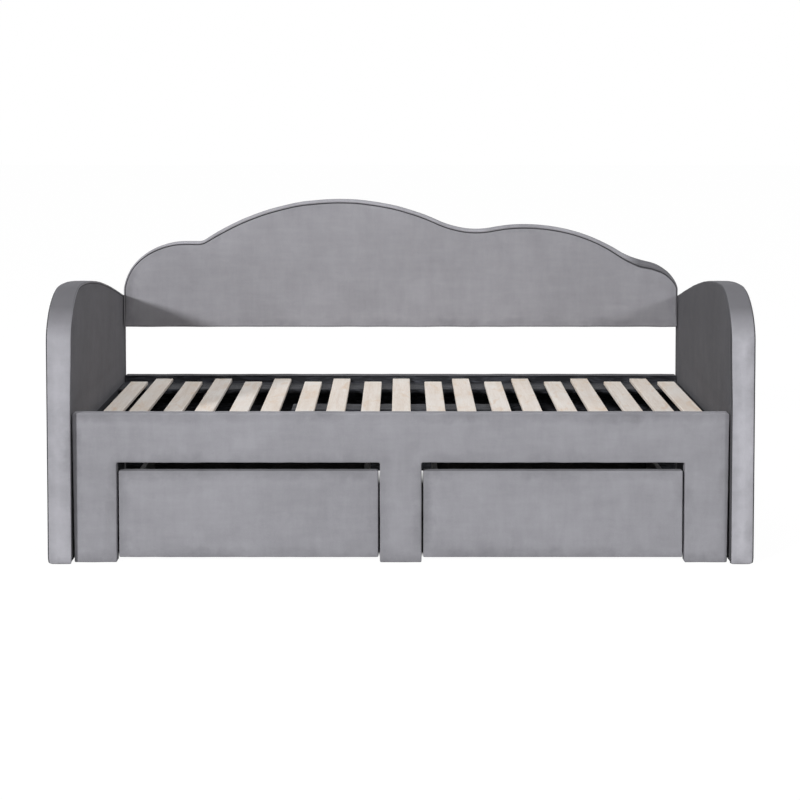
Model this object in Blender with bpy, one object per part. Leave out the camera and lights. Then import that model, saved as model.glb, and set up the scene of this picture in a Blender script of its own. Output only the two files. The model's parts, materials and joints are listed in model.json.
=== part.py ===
"""Upholstered storage daybed: two padded arms, a cloud-topped backrest, padded rails,
a deck of loose slats and two drawers that roll on small wheels.

Metres, +Z up. The front of the bed faces -Y and +X is its right-hand end as one looks
at the front. The origin is the middle of the bed on the floor.
"""

import math

import bmesh
import bpy
import numpy as np

# Driving sizes, in metres
BAY_LENGTH = 1.930  # between the arms: a 1.905 mattress and a little room
BED_DEPTH = 1.110  # the arms, front to back
LEDGER_TOP = 0.369  # the level that the slats lie on
FIT_GAP = 0.0003  # between pieces that touch
OVERRUN = 0.010  # how far a cutter passes the face that it opens

# Arms
ARM_THICKNESS = 0.068
ARM_CROWN_HEIGHT = 0.800
ARM_SHOULDER_HEIGHT = 0.650  # the straight front edge ends here
ARM_SHOULDER_RUN = 0.225  # and the rounded front corner takes this much of the depth
ARM_REAR_HEIGHT = 0.667
ARM_REAR_SLOPE_SHARE = 0.21  # fall over run where the top meets the rear edge
ARM_TOE_RADIUS = 0.018
ARM_REAR_CORNER_RADIUS = 0.020
ARM_PADDING = 0.016
ARM_EDGE_RADIUS = 0.012

# Backrest: its wavy top is four rounded lobes, run together
BACKREST_THICKNESS = 0.060
BACKREST_PADDING = 0.014
BACKREST_EDGE_RADIUS = 0.015
BACKREST_CORNER_RADIUS = 0.018
BACKREST_GRIP = 0.103  # how far it reaches down between the arms' rear edges
MAIN_LOBE_PLACE = -0.215
MAIN_LOBE_RISE = 0.442
MAIN_LOBE_RADIUS = 0.840
SIDE_LOBE_PLACE = 0.434
SIDE_LOBE_RISE = 0.3545
SIDE_LOBE_RADIUS = 0.623
SHOULDER_LOBE_RUN = 0.215  # from the left-hand end to where the shoulder goes level
SHOULDER_LOBE_RISE = 0.294
SHOULDER_LOBE_DROP = 0.1745
END_LOBE_RUN = 0.135  # from the right-hand end to the crest of the last lobe
END_LOBE_RISE = 0.2265
END_LOBE_DROP = 0.107
SHOULDER_BLEND = 0.015
VALLEY_BLEND = 0.070
END_BLEND = 0.043

# Front rail, which stands on the floor on two end legs and a centre post
RAIL_THICKNESS = 0.040
RAIL_SETBACK = 0.025  # from the arms' front edges
FRONT_RAIL_RISE = 0.073  # above the ledgers
END_LEG_WIDTH = 0.132
CENTRE_POST_WIDTH = 0.123
CUTOUT_HEIGHT = 0.295
RAIL_PADDING = 0.010
RAIL_EDGE_RADIUS = 0.008
RAIL_CORNER_RADIUS = 0.011
RAIL_BOARD_THICKNESS = 0.028

# Rear rail
REAR_RAIL_RISE = 0.023  # above the ledgers
REAR_RAIL_HEIGHT = 0.282

# Deck
LEDGER_WIDTH = 0.150
LEDGER_THICKNESS = 0.018
SLAT_COUNT = 19
SLAT_WIDTH = 0.059
SLAT_THICKNESS = 0.012
SLAT_SLACK = 0.080  # how much shorter a slat is than the bay between the rails
SLAT_EDGE_RADIUS = 0.0015
SLAT_MARGIN = 0.0344  # from an arm to the middle of an even row's first slat
SLAT_SHIFT = 0.002  # the whole row lies this much to the right of the middle
SLAT_SIDE_STEP = 0.006  # and every other slat this much further
SLAT_FRONT_ROOM = 0.010  # from the front rail to the slats that lie forward
SLAT_REAR_ROOM = 0.003  # from the rear rail to the slats that lie back
LEFT_END_ROOM = 0.031  # least room from the left arm to the first slat
RIGHT_END_ROOM = 0.018  # and from the last slat to the right arm
BEAM_LENGTH = 0.700
BEAM_WIDTH = 0.110
BEAM_THICKNESS = 0.030
CENTRE_LEG_SIDE = 0.040
CENTRE_LEG_INSET = 0.030  # from the beam's end to the leg

# Drawers
DRAWER_SIDE_GAP = 0.0045
DRAWER_TOP_GAP = 0.0215
DRAWER_FLOOR_GAP = 0.012
DRAWER_SETBACK = 0.008  # behind the rail's face
DRAWER_FRONT_THICKNESS = 0.030
DRAWER_FRONT_BOARD = 0.018
DRAWER_FRONT_PADDING = 0.012
DRAWER_EDGE_RADIUS = 0.007
DRAWER_CORNER_RADIUS = 0.010
DRAWER_BOX_INSET = 0.031  # from the front's end to the box's side
DRAWER_BACK_ROOM = 0.040  # from the box's back to the centre legs
DRAWER_SIDE_HEIGHT = 0.190
DRAWER_WALL = 0.015
DRAWER_BOTTOM = 0.009
BOARD_EDGE_RADIUS = 0.001

# Wheels and the channels that hold them
WHEEL_RADIUS = 0.015
WHEEL_WIDTH = 0.014
WHEEL_TREAD_RADIUS = 0.0015
WHEEL_SIDE_ROOM = 0.0008
WHEEL_TOP_ROOM = 0.0015
AXLE_RADIUS = 0.003
CHANNEL_WALL = 0.0015
CHANNEL_HEIGHT = 0.024
CHANNEL_END_INSET = 0.020  # from the drawer box's ends
CHANNEL_SIDE_INSET = 0.030  # from the drawer box's sides
WHEEL_END_INSET = 0.030  # from the channel's ends to the axles
WHEEL_SIDES = 24

# Bolts that hold the backrest between the arms
BOLT_RADIUS = 0.004
BOLT_REACH = 0.040  # into the backrest's board
BOLT_HEAD_RADIUS = 0.010
BOLT_HEAD_THICKNESS = 0.004
BOLT_SIDES = 16

# How finely curves are cut into straight edges
CORNER_STEPS = 4
SHOULDER_STEPS = 12
ARM_TOP_STEPS = 14
BACKREST_COLUMNS = 90
SMOOTH_ANGLE = math.radians(40)
BEVEL_ANGLE = math.radians(60)

# Levels and places that follow from the sizes above
BAY_HALF = BAY_LENGTH / 2
ARM_CENTRE = BAY_HALF + ARM_THICKNESS / 2
FRONT_Y = -BED_DEPTH / 2
REAR_Y = BED_DEPTH / 2
RAIL_FACE_Y = FRONT_Y + RAIL_SETBACK
RAIL_BACK_Y = RAIL_FACE_Y + RAIL_THICKNESS
REAR_RAIL_FACE_Y = REAR_Y - RAIL_THICKNESS
BACKREST_FACE_Y = REAR_Y - BACKREST_THICKNESS
BACKREST_CENTRE_Y = REAR_Y - BACKREST_THICKNESS / 2
RAIL_HALF = BAY_HALF - FIT_GAP
RAIL_TOP = LEDGER_TOP + FRONT_RAIL_RISE
REAR_RAIL_TOP = LEDGER_TOP + REAR_RAIL_RISE
REAR_RAIL_BOTTOM = REAR_RAIL_TOP - REAR_RAIL_HEIGHT
LEDGER_BOTTOM = LEDGER_TOP - LEDGER_THICKNESS
BACKREST_BOTTOM = ARM_REAR_HEIGHT - BACKREST_GRIP
CUTOUT_INNER = CENTRE_POST_WIDTH / 2
CUTOUT_OUTER = RAIL_HALF - END_LEG_WIDTH
DECK_CENTRE_Y = (RAIL_BACK_Y + REAR_RAIL_FACE_Y) / 2
SLAT_LENGTH = REAR_RAIL_FACE_Y - RAIL_BACK_Y - SLAT_SLACK
SLAT_PITCH = (BAY_LENGTH - 2 * SLAT_MARGIN) / (SLAT_COUNT - 1)
BOLT_Z = BACKREST_BOTTOM + BACKREST_GRIP / 2
ARM_BOARD_THICKNESS = ARM_THICKNESS - 2 * ARM_PADDING

DRAWER_CENTRE = (CUTOUT_INNER + CUTOUT_OUTER) / 2
DRAWER_FRONT_HALF = (CUTOUT_OUTER - CUTOUT_INNER) / 2 - DRAWER_SIDE_GAP
DRAWER_FRONT_TOP = CUTOUT_HEIGHT - DRAWER_TOP_GAP
DRAWER_FACE_Y = RAIL_FACE_Y + DRAWER_SETBACK
DRAWER_FRONT_BACK_Y = DRAWER_FACE_Y + DRAWER_FRONT_THICKNESS
DRAWER_BOX_HALF = DRAWER_FRONT_HALF - DRAWER_BOX_INSET
DRAWER_BOX_BACK_Y = DECK_CENTRE_Y - CENTRE_LEG_SIDE / 2 - DRAWER_BACK_ROOM
DRAWER_BOX_DEPTH = DRAWER_BOX_BACK_Y - DRAWER_FRONT_BACK_Y - FIT_GAP
CHANNEL_TOP = 2 * WHEEL_RADIUS + WHEEL_TOP_ROOM + CHANNEL_WALL
CHANNEL_HALF_WIDTH = WHEEL_WIDTH / 2 + WHEEL_SIDE_ROOM + CHANNEL_WALL
DRAWER_BOTTOM_Z = CHANNEL_TOP + FIT_GAP
DRAWER_SIDE_Z = DRAWER_BOTTOM_Z + DRAWER_BOTTOM + FIT_GAP


def clear_scene():
    """Starts from an empty scene."""
    for thing in list(bpy.data.objects):
        bpy.data.objects.remove(thing, do_unlink=True)


def finish(name, colour, roughness, metallic=0.0):
    """A Principled material with the part's colour."""
    material = bpy.data.materials.new(name)
    material.use_nodes = True
    shader = material.node_tree.nodes["Principled BSDF"]
    shader.inputs["Base Color"].default_value = (*colour, 1.0)
    shader.inputs["Roughness"].default_value = roughness
    shader.inputs["Metallic"].default_value = metallic
    material.diffuse_color = (*colour, 1.0)
    return material


def empty(name, location):
    """A plain handle that other pieces hang from."""
    handle = bpy.data.objects.new(name, None)
    bpy.context.scene.collection.objects.link(handle)
    handle.location = location
    return handle


def place(name, shape, location, material, parent):
    """Turns a bmesh into a smooth-shaded object at its place, its faces pointing out."""
    bmesh.ops.recalc_face_normals(shape, faces=shape.faces)
    if shape.calc_volume(signed=True) < 0:
        bmesh.ops.reverse_faces(shape, faces=shape.faces)
    mesh = bpy.data.meshes.new(name)
    shape.to_mesh(mesh)
    shape.free()
    mesh.shade_smooth()
    mesh.set_sharp_from_angle(angle=SMOOTH_ANGLE)
    thing = bpy.data.objects.new(name, mesh)
    bpy.context.scene.collection.objects.link(thing)
    thing.location = location
    thing.parent = parent
    if material:
        mesh.materials.append(material)
    return thing


def round_edges(thing, radius, segments):
    """Rounds every edge sharper than the bevel angle."""
    bevel = thing.modifiers.new("edges", "BEVEL")
    bevel.width = radius
    bevel.segments = segments
    bevel.limit_method = "ANGLE"
    bevel.angle_limit = BEVEL_ANGLE
    bevel.use_clamp_overlap = False


def block(name, low, high, material, parent=None, edge_radius=BOARD_EDGE_RADIUS):
    """A board between two corners, given in its parent's frame, with eased edges."""
    low = np.array(low)
    high = np.array(high)
    shape = bmesh.new()
    bmesh.ops.create_cube(shape, size=1)
    bmesh.ops.scale(shape, vec=high - low, verts=shape.verts)
    thing = place(name, shape, (low + high) / 2, material, parent)
    if edge_radius:
        round_edges(thing, edge_radius, 1)
    return thing


def panel(name, outline, start, depth, along, material, parent=None):
    """An outline pushed straight back: along Y from the front, or along X from the left.

    The outline's corners are (x, z, radius) for a push along Y and (y, z, radius) along X.
    """
    shape = bmesh.new()
    if along == "Y":
        corners = [shape.verts.new((across, 0, up)) for across, up in rounded(outline)]
        push = (0, depth, 0)
        location = (0, start, 0)
    else:
        corners = [shape.verts.new((0, across, up)) for across, up in rounded(outline)]
        push = (depth, 0, 0)
        location = (start, 0, 0)
    face = shape.faces.new(corners)
    grown = bmesh.ops.extrude_face_region(shape, geom=[face])["geom"]
    moved = [item for item in grown if isinstance(item, bmesh.types.BMVert)]
    bmesh.ops.translate(shape, vec=push, verts=moved)
    return place(name, shape, location, material, parent)


def rod(name, radius, start, end, middle, sides, material, parent=None):
    """A round bar along X, its origin halfway along its own axis.

    middle is the (y, z) of its axis, and start and end are its two ends in X.
    """
    shape = bmesh.new()
    bmesh.ops.create_cone(
        shape, cap_ends=True, segments=sides, radius1=radius, radius2=radius, depth=abs(end - start)
    )
    turn = np.array(((0, 0, 1), (1, 0, 0), (0, 1, 0)))
    for vert in shape.verts:
        vert.co = turn @ np.array(vert.co)
    return place(name, shape, ((start + end) / 2, *middle), material, parent)


def use_cutter(cutter):
    """Keeps a cutting or joining shape out of the finished bed."""
    cutter.hide_render = True
    cutter.display_type = "WIRE"
    return cutter


def cut(thing, cutter):
    """Takes the cutter's shape out of a piece."""
    boolean = thing.modifiers.new("cut", "BOOLEAN")
    boolean.operation = "DIFFERENCE"
    boolean.object = use_cutter(cutter)


def fuse(thing, other):
    """Makes another shape one body with a piece."""
    boolean = thing.modifiers.new("fuse", "BOOLEAN")
    boolean.operation = "UNION"
    boolean.object = use_cutter(other)


def rounded(corners, steps=CORNER_STEPS):
    """Rounds the corners of an outline. Each corner is (across, up, radius), 0 for none.

    The arc touches both sides of its corner, so its centre lies on their bisector, the
    radius over the sine of half the corner's angle away.
    """
    points = []
    for index, (across, up, radius) in enumerate(corners):
        here = np.array((across, up))
        if not radius:
            points.append(here)
            continue
        before = np.array(corners[index - 1][:2]) - here
        after = np.array(corners[(index + 1) % len(corners)][:2]) - here
        before = before / np.linalg.norm(before)
        after = after / np.linalg.norm(after)
        half = math.acos(float(before @ after)) / 2
        reach = radius / math.tan(half)
        centre = here + (before + after) / np.linalg.norm(before + after) * radius / math.sin(half)
        first = here + before * reach - centre
        last = here + after * reach - centre
        whole = math.pi - 2 * half
        for step in range(steps + 1):
            angle = whole * step / steps
            mix = (math.sin(whole - angle), math.sin(angle))
            points.append(centre + (first * mix[0] + last * mix[1]) / math.sin(whole))
    return points


def inset(outline, distance):
    """The same outline drawn in by a distance along its sides' normals.

    An outer corner's radius shrinks by the distance, down to a sharp corner, and an inner
    corner's grows by it.
    """
    table = np.array(outline)
    points = table[:, :2]
    before = points - np.roll(points, 1, axis=0)
    after = np.roll(points, -1, axis=0) - points
    before = before / np.linalg.norm(before, axis=1)[:, None]
    after = after / np.linalg.norm(after, axis=1)[:, None]
    normal_before = np.stack((-before[:, 1], before[:, 0]), axis=1)
    normal_after = np.stack((-after[:, 1], after[:, 0]), axis=1)
    share = 1 + (normal_before * normal_after).sum(axis=1)
    moved = points + (normal_before + normal_after) / share[:, None] * distance
    outer = before[:, 0] * after[:, 1] > before[:, 1] * after[:, 0]
    changed = np.where(outer, np.maximum(table[:, 2] - distance, 0), table[:, 2] + distance)
    radius = np.where(table[:, 2] > 0, changed, 0)
    return [tuple(row) for row in np.column_stack((moved, radius))]


def arm_outline():
    """Corners round the arm, seen from +X: flat foot, straight rear, falling top, round front."""
    run = BED_DEPTH - ARM_SHOULDER_RUN
    share = np.linspace(0, 1, ARM_TOP_STEPS + 1)[:0:-1]
    fall = (3 * share**2 - 2 * share**3) * (ARM_CROWN_HEIGHT - ARM_REAR_HEIGHT)
    steepen = (share**3 - share**2) * run * ARM_REAR_SLOPE_SHARE
    crown_y = FRONT_Y + ARM_SHOULDER_RUN
    top = np.stack((crown_y + share * run, ARM_CROWN_HEIGHT - fall - steepen), axis=1)
    angle = np.linspace(math.pi / 2, math.pi, SHOULDER_STEPS + 1)
    shoulder_y = crown_y + np.cos(angle) * ARM_SHOULDER_RUN
    shoulder_z = ARM_SHOULDER_HEIGHT + np.sin(angle) * (ARM_CROWN_HEIGHT - ARM_SHOULDER_HEIGHT)
    shoulder = np.stack((shoulder_y, shoulder_z), axis=1)
    corners = [(FRONT_Y, 0, ARM_TOE_RADIUS), (REAR_Y, 0, ARM_TOE_RADIUS)]
    corners.append((*top[0], ARM_REAR_CORNER_RADIUS))
    corners += [(*point, 0) for point in top[1:]]
    corners += [(*point, 0) for point in shoulder]
    return corners


def lobe(across, crest, rise, run, drop):
    """Height of one rounded lobe: an upright half ellipse, level between its crest's ends."""
    away = np.clip(np.abs(across - np.clip(across, *crest)) / run, 0, 1)
    return rise - drop + drop * np.sqrt(1 - away**2)


def run_together(first, second, width):
    """The higher of two heights, eased into each other where they differ by less than width."""
    overlap = np.maximum(width - np.abs(first - second), 0)
    return np.maximum(first, second) + overlap**2 / (4 * width)


def backrest_outline():
    """Corners round the backrest, seen from the front: flat foot, four lobes along the top."""
    angle = np.linspace(0, math.pi, BACKREST_COLUMNS + 1)
    across = np.cos(angle) * RAIL_HALF
    shoulder_crest = (SHOULDER_LOBE_RUN - RAIL_HALF, MAIN_LOBE_PLACE)
    main_crest = (MAIN_LOBE_PLACE, MAIN_LOBE_PLACE)
    side_crest = (SIDE_LOBE_PLACE, SIDE_LOBE_PLACE)
    end_crest = (RAIL_HALF - END_LOBE_RUN, RAIL_HALF - END_LOBE_RUN)
    height = lobe(across, shoulder_crest, SHOULDER_LOBE_RISE, SHOULDER_LOBE_RUN, SHOULDER_LOBE_DROP)
    main = lobe(across, main_crest, MAIN_LOBE_RISE, MAIN_LOBE_RADIUS, MAIN_LOBE_RADIUS)
    side = lobe(across, side_crest, SIDE_LOBE_RISE, SIDE_LOBE_RADIUS, SIDE_LOBE_RADIUS)
    end = lobe(across, end_crest, END_LOBE_RISE, END_LOBE_RUN, END_LOBE_DROP)
    height = run_together(height, main, SHOULDER_BLEND)
    height = run_together(height, side, VALLEY_BLEND)
    height = run_together(height, end, END_BLEND)
    top = np.stack((across, BACKREST_BOTTOM + height), axis=1)
    foot = [(-RAIL_HALF, BACKREST_BOTTOM, BACKREST_CORNER_RADIUS)]
    foot.append((RAIL_HALF, BACKREST_BOTTOM, BACKREST_CORNER_RADIUS))
    return foot + [(*point, 0) for point in top]


def front_rail_outline():
    """Corners round the front rail: two end legs, a centre post and two drawer cut-outs."""
    corner = RAIL_CORNER_RADIUS
    left_leg = [(-RAIL_HALF, 0, corner), (-CUTOUT_OUTER, 0, corner)]
    left_cutout = [(-CUTOUT_OUTER, CUTOUT_HEIGHT, corner), (-CUTOUT_INNER, CUTOUT_HEIGHT, corner)]
    post = [(-CUTOUT_INNER, 0, corner), (CUTOUT_INNER, 0, corner)]
    right_cutout = [(CUTOUT_INNER, CUTOUT_HEIGHT, corner), (CUTOUT_OUTER, CUTOUT_HEIGHT, corner)]
    right_leg = [(CUTOUT_OUTER, 0, corner), (RAIL_HALF, 0, corner)]
    top = [(RAIL_HALF, RAIL_TOP, corner), (-RAIL_HALF, RAIL_TOP, corner)]
    return left_leg + left_cutout + post + right_cutout + right_leg + top


def rectangle(half_width, bottom, top, radius):
    """Corners round a rectangle that is centred across."""
    foot = [(-half_width, bottom, radius), (half_width, bottom, radius)]
    return foot + [(half_width, top, radius), (-half_width, top, radius)]


def bolt_bore(side):
    """The bore that one backrest bolt passes through, from the arm's board inwards."""
    start = ARM_CENTRE + ARM_BOARD_THICKNESS / 2
    end = RAIL_HALF - BACKREST_PADDING - BOLT_REACH - FIT_GAP
    middle = (BACKREST_CENTRE_Y, BOLT_Z)
    radius = BOLT_RADIUS + FIT_GAP
    name = f"bolt bore {side:+d}"
    return rod(name, radius, side * start, side * end, middle, BOLT_SIDES, None)


def make_arm(side, word, bore):
    """One arm: an upright board inside a padded velvet cover that wraps it all round."""
    outline = arm_outline()
    centre = side * ARM_CENTRE
    cover_start = centre - ARM_THICKNESS / 2
    cover = panel(f"arm_{word}_cover", outline, cover_start, ARM_THICKNESS, "X", VELVET)
    round_edges(cover, ARM_EDGE_RADIUS, CORNER_STEPS)
    pocket_start = centre - ARM_BOARD_THICKNESS / 2
    pocket_outline = inset(outline, ARM_PADDING)
    pocket = panel(
        f"arm {word} pocket", pocket_outline, pocket_start, ARM_BOARD_THICKNESS, "X", None
    )
    cut(cover, pocket)
    cut(cover, bore)
    board_outline = inset(outline, ARM_PADDING + FIT_GAP)
    board = panel(
        f"arm_{word}_board",
        board_outline,
        pocket_start + FIT_GAP,
        ARM_BOARD_THICKNESS - 2 * FIT_GAP,
        "X",
        BOARD,
    )
    cut(board, bore)
    outer = centre + side * ARM_BOARD_THICKNESS / 2
    seat = outer - side * (BOLT_HEAD_THICKNESS + 2 * FIT_GAP)
    middle = (BACKREST_CENTRE_Y, BOLT_Z)
    counterbore = rod(
        f"bolt seat {word}",
        BOLT_HEAD_RADIUS + FIT_GAP,
        outer + side * OVERRUN,
        seat,
        middle,
        BOLT_SIDES,
        None,
    )
    cut(board, counterbore)


def make_backrest(bores):
    """The backrest between the arms: a shaped board in a padded velvet cover."""
    outline = backrest_outline()
    cover = panel("backrest_cover", outline, BACKREST_FACE_Y, BACKREST_THICKNESS, "Y", VELVET)
    round_edges(cover, BACKREST_EDGE_RADIUS, CORNER_STEPS)
    board_thickness = BACKREST_THICKNESS - 2 * BACKREST_PADDING
    pocket_y = BACKREST_FACE_Y + BACKREST_PADDING
    pocket_outline = inset(outline, BACKREST_PADDING)
    pocket = panel("backrest pocket", pocket_outline, pocket_y, board_thickness, "Y", None)
    board = panel(
        "backrest_board",
        inset(outline, BACKREST_PADDING + FIT_GAP),
        pocket_y + FIT_GAP,
        board_thickness - 2 * FIT_GAP,
        "Y",
        BOARD,
    )
    cut(cover, pocket)
    for bore in bores:
        cut(cover, bore)
        cut(board, bore)


def make_bolt(side, word):
    """A bolt from the arm's board into the backrest's board, its head let into the arm's."""
    middle = (BACKREST_CENTRE_Y, BOLT_Z)
    outer = side * (ARM_CENTRE + ARM_BOARD_THICKNESS / 2 - FIT_GAP)
    tip = side * (RAIL_HALF - BACKREST_PADDING - BOLT_REACH)
    seat = outer - side * BOLT_HEAD_THICKNESS
    bolt = rod(f"back_bolt_{word}", BOLT_RADIUS, outer, tip, middle, BOLT_SIDES, STEEL)
    head = rod(f"bolt head {word}", BOLT_HEAD_RADIUS, outer, seat, middle, BOLT_SIDES, None)
    fuse(bolt, head)


def make_rail(name, outline, face_y, pocket_from_front, padding):
    """A rail's velvet cover over a board. The cover stays open on the board's bare side."""
    cover = panel(f"{name}_cover", outline, face_y, RAIL_THICKNESS, "Y", VELVET)
    round_edges(cover, RAIL_EDGE_RADIUS, CORNER_STEPS)
    pocket_outline = inset(outline, padding)
    board_outline = inset(outline, padding + FIT_GAP)
    if pocket_from_front:
        pocket_start = face_y - OVERRUN
        board_start = face_y
    else:
        pocket_start = face_y + RAIL_THICKNESS - RAIL_BOARD_THICKNESS
        board_start = pocket_start + FIT_GAP
    pocket_depth = RAIL_BOARD_THICKNESS + OVERRUN
    pocket = panel(f"{name} pocket", pocket_outline, pocket_start, pocket_depth, "Y", None)
    cut(cover, pocket)
    board_depth = RAIL_BOARD_THICKNESS - FIT_GAP
    panel(f"{name}_board", board_outline, board_start, board_depth, "Y", BOARD)


def make_deck():
    """Two ledgers, a short beam on two legs, and the loose slats across them."""
    half = RAIL_HALF
    block(
        "front_ledger",
        (-half, RAIL_BACK_Y + FIT_GAP, LEDGER_BOTTOM),
        (half, RAIL_BACK_Y + FIT_GAP + LEDGER_WIDTH, LEDGER_TOP),
        LINING,
    )
    block(
        "rear_ledger",
        (-half, REAR_RAIL_FACE_Y - FIT_GAP - LEDGER_WIDTH, LEDGER_BOTTOM),
        (half, REAR_RAIL_FACE_Y - FIT_GAP, LEDGER_TOP),
        LINING,
    )
    beam_bottom = LEDGER_TOP - BEAM_THICKNESS
    block(
        "center_beam",
        (-BEAM_LENGTH / 2, DECK_CENTRE_Y - BEAM_WIDTH / 2, beam_bottom),
        (BEAM_LENGTH / 2, DECK_CENTRE_Y + BEAM_WIDTH / 2, LEDGER_TOP),
        LINING,
    )
    leg_x = BEAM_LENGTH / 2 - CENTRE_LEG_INSET - CENTRE_LEG_SIDE / 2
    half_side = CENTRE_LEG_SIDE / 2
    for side, word in SIDES:
        block(
            f"center_leg_{word}",
            (side * leg_x - half_side, DECK_CENTRE_Y - half_side, 0),
            (side * leg_x + half_side, DECK_CENTRE_Y + half_side, beam_bottom - FIT_GAP),
            LINING,
        )
    slat_bottom = LEDGER_TOP + FIT_GAP
    leftmost = -BAY_HALF + LEFT_END_ROOM + SLAT_WIDTH / 2
    rightmost = BAY_HALF - RIGHT_END_ROOM - SLAT_WIDTH / 2
    for number in range(1, SLAT_COUNT + 1):
        odd = number % 2
        middle = (number - (SLAT_COUNT + 1) / 2) * SLAT_PITCH + SLAT_SHIFT
        middle += odd * SLAT_SIDE_STEP
        middle = min(max(middle, leftmost), rightmost)
        if odd:
            front = RAIL_BACK_Y + SLAT_FRONT_ROOM
        else:
            front = REAR_RAIL_FACE_Y - SLAT_REAR_ROOM - SLAT_LENGTH
        block(
            f"slat_{number:02d}",
            (middle - SLAT_WIDTH / 2, front, slat_bottom),
            (middle + SLAT_WIDTH / 2, front + SLAT_LENGTH, slat_bottom + SLAT_THICKNESS),
            SLAT_WOOD,
            edge_radius=SLAT_EDGE_RADIUS,
        )


def make_drawer(side, word):
    """One drawer, on a handle at the middle of its front: padded front, box and wheels."""
    handle = empty(f"drawer {word} slide", (side * DRAWER_CENTRE, DRAWER_FRONT_BACK_Y, 0))
    outline = rectangle(DRAWER_FRONT_HALF, DRAWER_FLOOR_GAP, DRAWER_FRONT_TOP, DRAWER_CORNER_RADIUS)
    thickness = DRAWER_FRONT_THICKNESS
    cover = panel(f"drawer_{word}_front_cover", outline, -thickness, thickness, "Y", VELVET, handle)
    round_edges(cover, DRAWER_EDGE_RADIUS, CORNER_STEPS)
    pocket = panel(
        f"drawer {word} pocket",
        inset(outline, DRAWER_FRONT_PADDING),
        -DRAWER_FRONT_BOARD,
        DRAWER_FRONT_BOARD + OVERRUN,
        "Y",
        None,
        handle,
    )
    cut(cover, pocket)
    panel(
        f"drawer_{word}_front_board",
        inset(outline, DRAWER_FRONT_PADDING + FIT_GAP),
        FIT_GAP - DRAWER_FRONT_BOARD,
        DRAWER_FRONT_BOARD - FIT_GAP,
        "Y",
        BOARD,
        handle,
    )
    half = DRAWER_BOX_HALF
    back_y = FIT_GAP + DRAWER_BOX_DEPTH
    top = DRAWER_SIDE_Z + DRAWER_SIDE_HEIGHT
    block(
        f"drawer_{word}_bottom",
        (-half, FIT_GAP, DRAWER_BOTTOM_Z),
        (half, back_y, DRAWER_BOTTOM_Z + DRAWER_BOTTOM),
        BOX_BOARD,
        handle,
    )
    block(
        f"drawer_{word}_side_left",
        (-half, FIT_GAP, DRAWER_SIDE_Z),
        (-half + DRAWER_WALL, back_y, top),
        BOX_BOARD,
        handle,
    )
    block(
        f"drawer_{word}_side_right",
        (half - DRAWER_WALL, FIT_GAP, DRAWER_SIDE_Z),
        (half, back_y, top),
        BOX_BOARD,
        handle,
    )
    block(
        f"drawer_{word}_back",
        (-half + DRAWER_WALL + FIT_GAP, back_y - DRAWER_WALL, DRAWER_SIDE_Z),
        (half - DRAWER_WALL - FIT_GAP, back_y, top),
        BOX_BOARD,
        handle,
    )
    channel_x = half - CHANNEL_SIDE_INSET - CHANNEL_HALF_WIDTH
    for channel_side, channel_word in SIDES:
        make_channel(word, channel_word, channel_side * channel_x, handle)


def make_channel(drawer_word, word, middle_x, handle):
    """A folded steel channel under the drawer, open downwards, with two axles and wheels."""
    front = FIT_GAP + CHANNEL_END_INSET
    back = FIT_GAP + DRAWER_BOX_DEPTH - CHANNEL_END_INSET
    width = CHANNEL_HALF_WIDTH
    bottom = CHANNEL_TOP - CHANNEL_HEIGHT
    name = f"drawer_{drawer_word}_channel_{word}"
    channel = block(
        name,
        (middle_x - width, front, bottom),
        (middle_x + width, back, CHANNEL_TOP),
        STEEL,
        handle,
        edge_radius=0,
    )
    hollow = block(
        f"{name} hollow",
        (middle_x - width + CHANNEL_WALL, front - OVERRUN, bottom - OVERRUN),
        (middle_x + width - CHANNEL_WALL, back + OVERRUN, CHANNEL_TOP - CHANNEL_WALL),
        None,
        handle,
        edge_radius=0,
    )
    cut(channel, hollow)
    for axle_y, axle_word in ((front + WHEEL_END_INSET, "front"), (back - WHEEL_END_INSET, "rear")):
        axle = rod(
            f"{name} axle {axle_word}",
            AXLE_RADIUS,
            middle_x - width + CHANNEL_WALL / 2,
            middle_x + width - CHANNEL_WALL / 2,
            (axle_y, WHEEL_RADIUS),
            WHEEL_SIDES,
            None,
            handle,
        )
        fuse(channel, axle)
        make_wheel(f"{drawer_word}_wheel_{axle_word}_{word}", middle_x, axle_y, handle)


def make_wheel(name, middle_x, axle_y, handle):
    """A small bored wheel, its origin on its axle."""
    half = WHEEL_WIDTH / 2
    middle = (axle_y, WHEEL_RADIUS)
    sides = WHEEL_SIDES
    wheel = rod(name, WHEEL_RADIUS, middle_x - half, middle_x + half, middle, sides, WHEEL, handle)
    round_edges(wheel, WHEEL_TREAD_RADIUS, 2)
    start = middle_x - half - OVERRUN
    end = middle_x + half + OVERRUN
    bore = rod(f"{name} bore", AXLE_RADIUS + FIT_GAP, start, end, middle, sides, None, handle)
    cut(wheel, bore)


SIDES = ((-1, "left"), (1, "right"))

clear_scene()
VELVET = finish("grey velvet", (0.30, 0.30, 0.32), 0.85)
BOARD = finish("frame board", (0.58, 0.44, 0.28), 0.7)
SLAT_WOOD = finish("slat wood", (0.72, 0.62, 0.50), 0.6)
LINING = finish("black lining", (0.02, 0.02, 0.022), 0.9)
BOX_BOARD = finish("drawer board", (0.45, 0.42, 0.38), 0.7)
STEEL = finish("zinc steel", (0.55, 0.56, 0.58), 0.35, 1.0)
WHEEL = finish("wheel plastic", (0.03, 0.03, 0.03), 0.5)

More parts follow.
